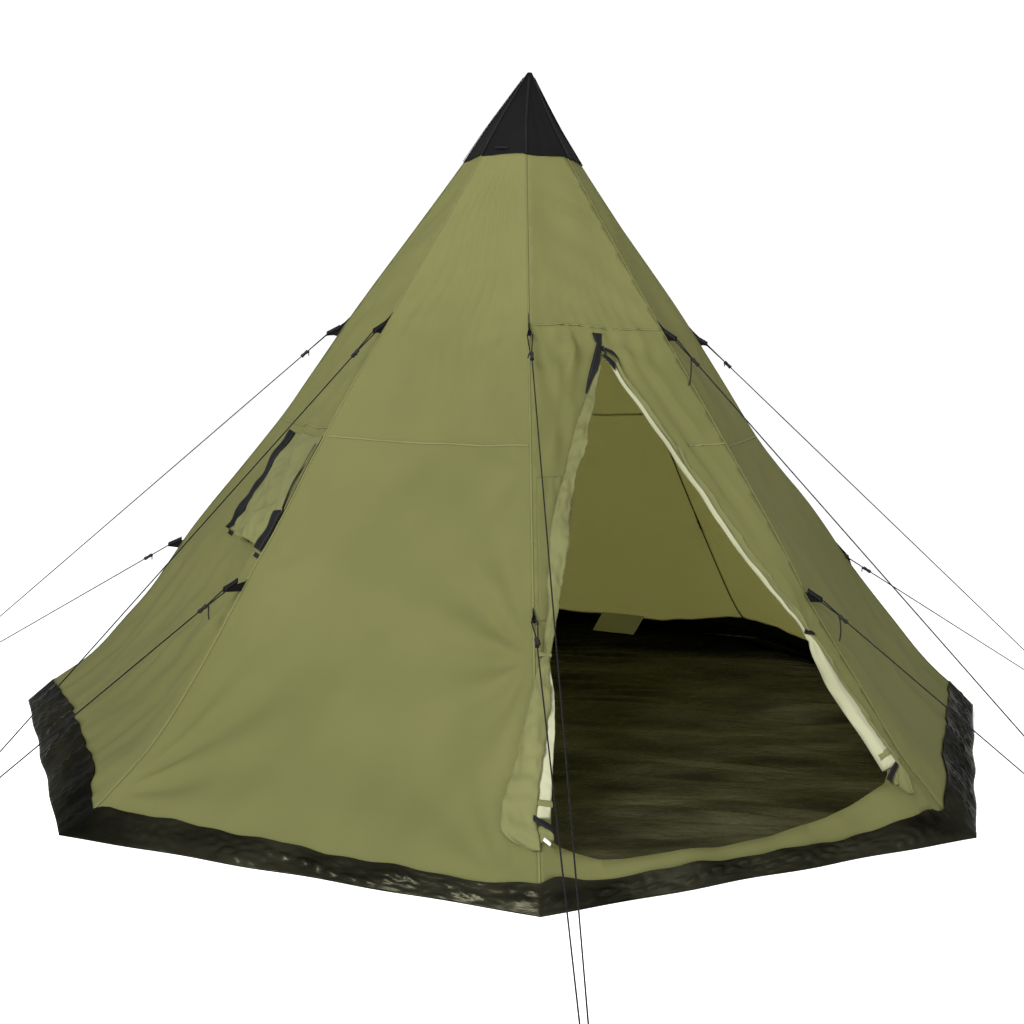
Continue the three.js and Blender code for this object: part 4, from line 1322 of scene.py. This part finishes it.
def add_window_net():
    share = np.linspace(0, 1, 24)[None, :]
    z = np.linspace(*NET_HEIGHTS, 24)[:, None]
    drop = NET_HEIGHTS[0] - z
    s = (-0.012 + drop * 0.1) * (1 - share) + (0.336 + drop * 0.276) * share
    net = grid_object("window_netting", on_window_wall(s, z, -NET_INSET), BLACK_CLOTH, RIBBON)
    assign(net, "window_net")


add_window()
add_window_strips()
add_window_gap()
add_window_net()


# ---------------------------------------------------------------- small cloth over the back skirt, inside
PATCH_TOP = 0.072
PATCH_DROP = 0.057
PATCH_LEAN = 0.190
PATCH_MIDDLE = -0.027
PATCH_HALF = 0.110
PATCH_INSET = 0.012


def add_inner_flap():
    u = np.linspace(-1, 1, 30)[None, :]
    t = np.linspace(0, 1, 26)[:, None]
    z = PATCH_TOP - PATCH_DROP * t
    s = PATCH_MIDDLE + (PATCH_HALF - 0.004 * t) * u
    ripple = 0.004 * np.sin(5 * u + 1.0) * t
    hang = wall_points(INNER_WALL, s, np.full(z.shape, PATCH_TOP), -PATCH_INSET - ripple)
    hang -= (PATCH_LEAN * t + 0 * u)[..., None] * outward(INNER_WALL + 0.5)
    hang[..., 2] = z + 0 * u
    cloth = grid_object("inner_flap_cloth", hang, PATCH)
    assign(cloth, "inner_flap")


add_inner_flap()


# ---------------------------------------------------------------- cap
CAP_PROFILE = rounded([(0.004, 2.366), (0.012, 2.352), (0.10, 2.215), (0.214, 2.043)], 2)
CAP_COLUMNS = 14
CAP_CLOTH = 0.0015
CAP_GAP = 0.005
CAP_SEAM_GAP = 0.0075
CAP_SEAM_HALF = 0.0045
CAP_SEAM_DEPTH = 0.0012
CAP_TIP = 2.3685
CAP_LEAN = 0.016
LEAN_FROM = 2.15


def lean_tip(points):
    """The cap's tip leans a little sideways off the pole's head."""
    points = np.array(points, float)
    points[..., 0] += CAP_LEAN * np.clip((points[..., 2] - LEAN_FROM) / (CAP_TIP - LEAN_FROM), 0, 1) ** 1.3
    return points


def cap_ring(radius, z, share):
    """One level of the cap, share of the way from its tip to its hem."""
    u = np.linspace(-1, 1, CAP_COLUMNS, endpoint=False)
    sag = -0.004 * (1 - u**2) * math.sin(math.pi * share)
    reach = radius + CAP_GAP
    ring = []
    for wall in range(SIDES):
        fold = 0.0025 * np.sin(9 * u + 1.7 * wall) * share * (1 - u**2)
        flat = reach * COS + fold + sag
        points = flat[:, None] * outward(wall + 0.5) + (u * reach * SIN)[:, None] * sideways(wall + 0.5)
        points[:, 2] += z + 0.004 * np.sin(2.1 * u + wall) * share**6
        ring.append(points)
    return np.concatenate(ring)


def add_cap():
    profile = resample(CAP_PROFILE, 0.009)
    rings = [cap_ring(radius, z, step / (len(profile) - 1)) for step, (radius, z) in enumerate(profile)]
    rows, count = len(rings), len(rings[0])
    tip = rows * count
    faces = grid_faces(rows, count, True, True)
    faces += [(j, (j + 1) % count, tip) for j in range(count)]
    thing = mesh_object("cap_cloth", lean_tip(np.vstack([*rings, [0, 0, CAP_TIP]])), faces, BLACK_CLOTH)
    solidify(thing, CAP_CLOTH)
    assign(thing, "apex_cap")


def add_cap_seams():
    """Sewn ridges and the small vent slot of the cap."""
    profile = resample(CAP_PROFILE, 0.02)
    for ridge in range(SIDES):
        rows = []
        for radius, z in profile[1:]:
            reach = radius + CAP_SEAM_GAP
            half = min(CAP_SEAM_HALF, radius * 0.3)
            section = [(reach - CAP_SEAM_DEPTH, -half), (reach, 0.0), (reach - CAP_SEAM_DEPTH, half)]
            rows.append([ridge_point(ridge, r, z, aside) for r, aside in section])
        ribbon(f"cap_seam_{RIDGE_NAMES[ridge]}", lean_tip(rows), BLACK_SEAM, "black_polyester")
    slot = band_along(on_wall(LEFT_WALL), [(-0.036, 2.062), (0.014, 2.060)], 0.008, 0.0125, 0.004, 0.001)
    ribbon("cap_vent", slot, WEBBING, "black_polyester")


add_cap()
add_cap_seams()


# ---------------------------------------------------------------- groundsheet
FLOOR_LIFT = 0.0022
FLOOR_RELIEF = 0.012
FLOOR_RINGS = 80
DARK_RINGS = 5
SKIRT_COLUMNS = 130
SKIRT_ROWS = 18
SKIRT_WIDTH = 0.13
SKIRT_LAP = 0.006
SKIRT_OUT = 0.005
SKIRT_CRINKLE = 0.0075
EDGE_INSET = 0.004


def base_edge(wall, u):
    """The skirt's lower edge on the ground, its corners a little shifted, one of them lifted."""
    wavy = 0.004 * np.sin(11 * u + 2.3 * wall) * (1 - u**2)
    points = (BASE_RADIUS * COS - EDGE_INSET + wavy)[:, None] * outward(wall + 0.5)
    points += (u * BASE_RADIUS * SIN)[:, None] * sideways(wall + 0.5)
    points[:, 2] = 0.0
    for ridge, side in wall_ridges(wall):
        share = np.clip((1 + side * u) / 2, 0, 1)
        points[:, :2] += share[:, None] * np.array(CORNER_SHIFTS.get(ridge, (0.0, 0.0)))
        points[:, 2] += RIDGE_LIFTS.get(ridge, 0.0) * share**6
    return points


def skirt_points(wall):
    """The crinkled upright edge of the groundsheet along one wall."""
    u = np.linspace(-1, 1, SKIRT_COLUMNS)
    top = skirt_height(wall, u) + SKIRT_LAP
    upper = wall_points(wall, u * half_at(top), top, SKIRT_OUT)
    share = np.linspace(0, 1, SKIRT_ROWS)[:, None]
    points = upper[None] * (1 - share[..., None]) + base_edge(wall, u)[None] * share[..., None]
    s, t = np.broadcast_arrays(u * BASE_RADIUS * SIN, SKIRT_WIDTH * share)
    sharp = np.abs(waves(s * 0.8, t * 1.4, 300 + wall, 0.06))
    crinkle = sharp * 0.8 + 0.5 * waves(s, t * 0.6, 320 + wall, 0.16)
    fade = (1 - u**2) ** 0.25 * np.sin(np.pi * np.clip(share, 0.02, 0.98)) ** 0.7
    push = SKIRT_CRINKLE * np.maximum(crinkle, -0.05) * fade
    points = points + push[..., None] * (outward(wall + 0.5) * 0.65 + np.array([0, 0, 0.76]))
    points[..., 2] = np.maximum(points[..., 2], 0.0)
    return points


def floor_ring(edge, step):
    """One ring of the floor inside the skirt's lower edge, a little rumpled."""
    share = 1 - step / (FLOOR_RINGS + 0.5)
    ring = edge * share
    x, y = ring[:, 0], ring[:, 1]
    relief = 0.6 + 0.7 * waves(x * 0.3, y, 400, 0.30) + 0.9 * np.abs(waves(x * 0.25, y, 401, 0.13))
    rise = min(1.0, (1 - share) * 9)
    lifted = edge[:, 2] * max(0.0, 1 - 8 * (1 - share))
    ring[:, 2] = np.clip(relief, 0, 3) * FLOOR_RELIEF * rise + FLOOR_LIFT * rise + lifted
    return ring


def add_groundsheet():
    skirt = np.concatenate([skirt_points(wall)[:, :-1] for wall in range(SIDES)], axis=1)
    floor = np.array([floor_ring(skirt[-1], step) for step in range(1, FLOOR_RINGS + 1)])
    points = np.concatenate([skirt, floor])
    rows, count = points.shape[:2]
    faces = grid_faces(rows, count, True, True)
    faces.append(tuple(range((rows - 1) * count, rows * count)))
    thing = mesh_object("groundsheet_cloth", points.reshape(-1, 3), faces, SKIRT_PLASTIC)
    thing.data.materials.append(LIT_FLOOR_PLASTIC)
    # The first floor rings keep the skirt's darker colour; the lighter floor colour, painted light, starts
    # inside them.
    outer_faces = (SKIRT_ROWS - 1 + DARK_RINGS) * count
    for face in thing.data.polygons[outer_faces:]:
        face.material_index = 1
    assign(thing, "groundsheet")


add_groundsheet()


# ---------------------------------------------------------------- CAD pieces that keep their shape
def repaint(node, surface):
    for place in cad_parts[node].material_slots:
        place.link = "OBJECT"
        place.material = surface


for section in range(1, 5):
    repaint(f"pole_section_{section}", STEEL)
for name in ("pole_foot", "door_zip_slider", "door_zip_pull"):
    repaint(name, BLACK_PLASTIC)
for ridge_name in RIDGE_NAMES:
    repaint(f"peg_{ridge_name}", PEG_STEEL)
    for level in LEVELS:
        repaint(f"slider_{ridge_name}_{level}", BLACK_PLASTIC)


# ---------------------------------------------------------------- floor and light
STAGE_REACH = 40
STAGE_HEIGHT = -0.0005
WORLD_STRENGTH = 1.06
# name, place, target, size, power
LIGHTS = [
    ("key", (-3.2, -7.0, 4.4), (0, 0, 1.0), 2.4, 1050),
    ("fill", (4.0, -6.5, 3.0), (0, 0, 0.8), 4.0, 170),
]


def add_stage():
    white = plain_material("studio_floor_look", (0.93,) * 3, (0.95,) * 3, roughness=0.9, scale=1.0)
    corners = [(-1, -1), (1, -1), (1, 1), (-1, 1)]
    corners = [(x * STAGE_REACH, y * STAGE_REACH, STAGE_HEIGHT) for x, y in corners]
    mesh_object("studio_floor", corners, [(0, 1, 2, 3)], white)


def add_area(name, place, target, size, power):
    data = bpy.data.lights.new(name, "AREA")
    data.size = size
    data.energy = power
    lamp = bpy.data.objects.new(name, data)
    lamp.location = place
    lamp.rotation_euler = (Vector(target) - Vector(place)).to_track_quat("-Z", "Y").to_euler()
    bpy.context.collection.objects.link(lamp)


def add_world():
    world = bpy.data.worlds.new("studio")
    world.use_nodes = True
    background = world.node_tree.nodes["Background"]
    background.inputs["Color"].default_value = (1, 1, 1, 1)
    background.inputs["Strength"].default_value = WORLD_STRENGTH
    bpy.context.scene.world = world
    bpy.context.scene.view_settings.view_transform = "Standard"


add_stage()
for light in LIGHTS:
    add_area(*light)
add_world()
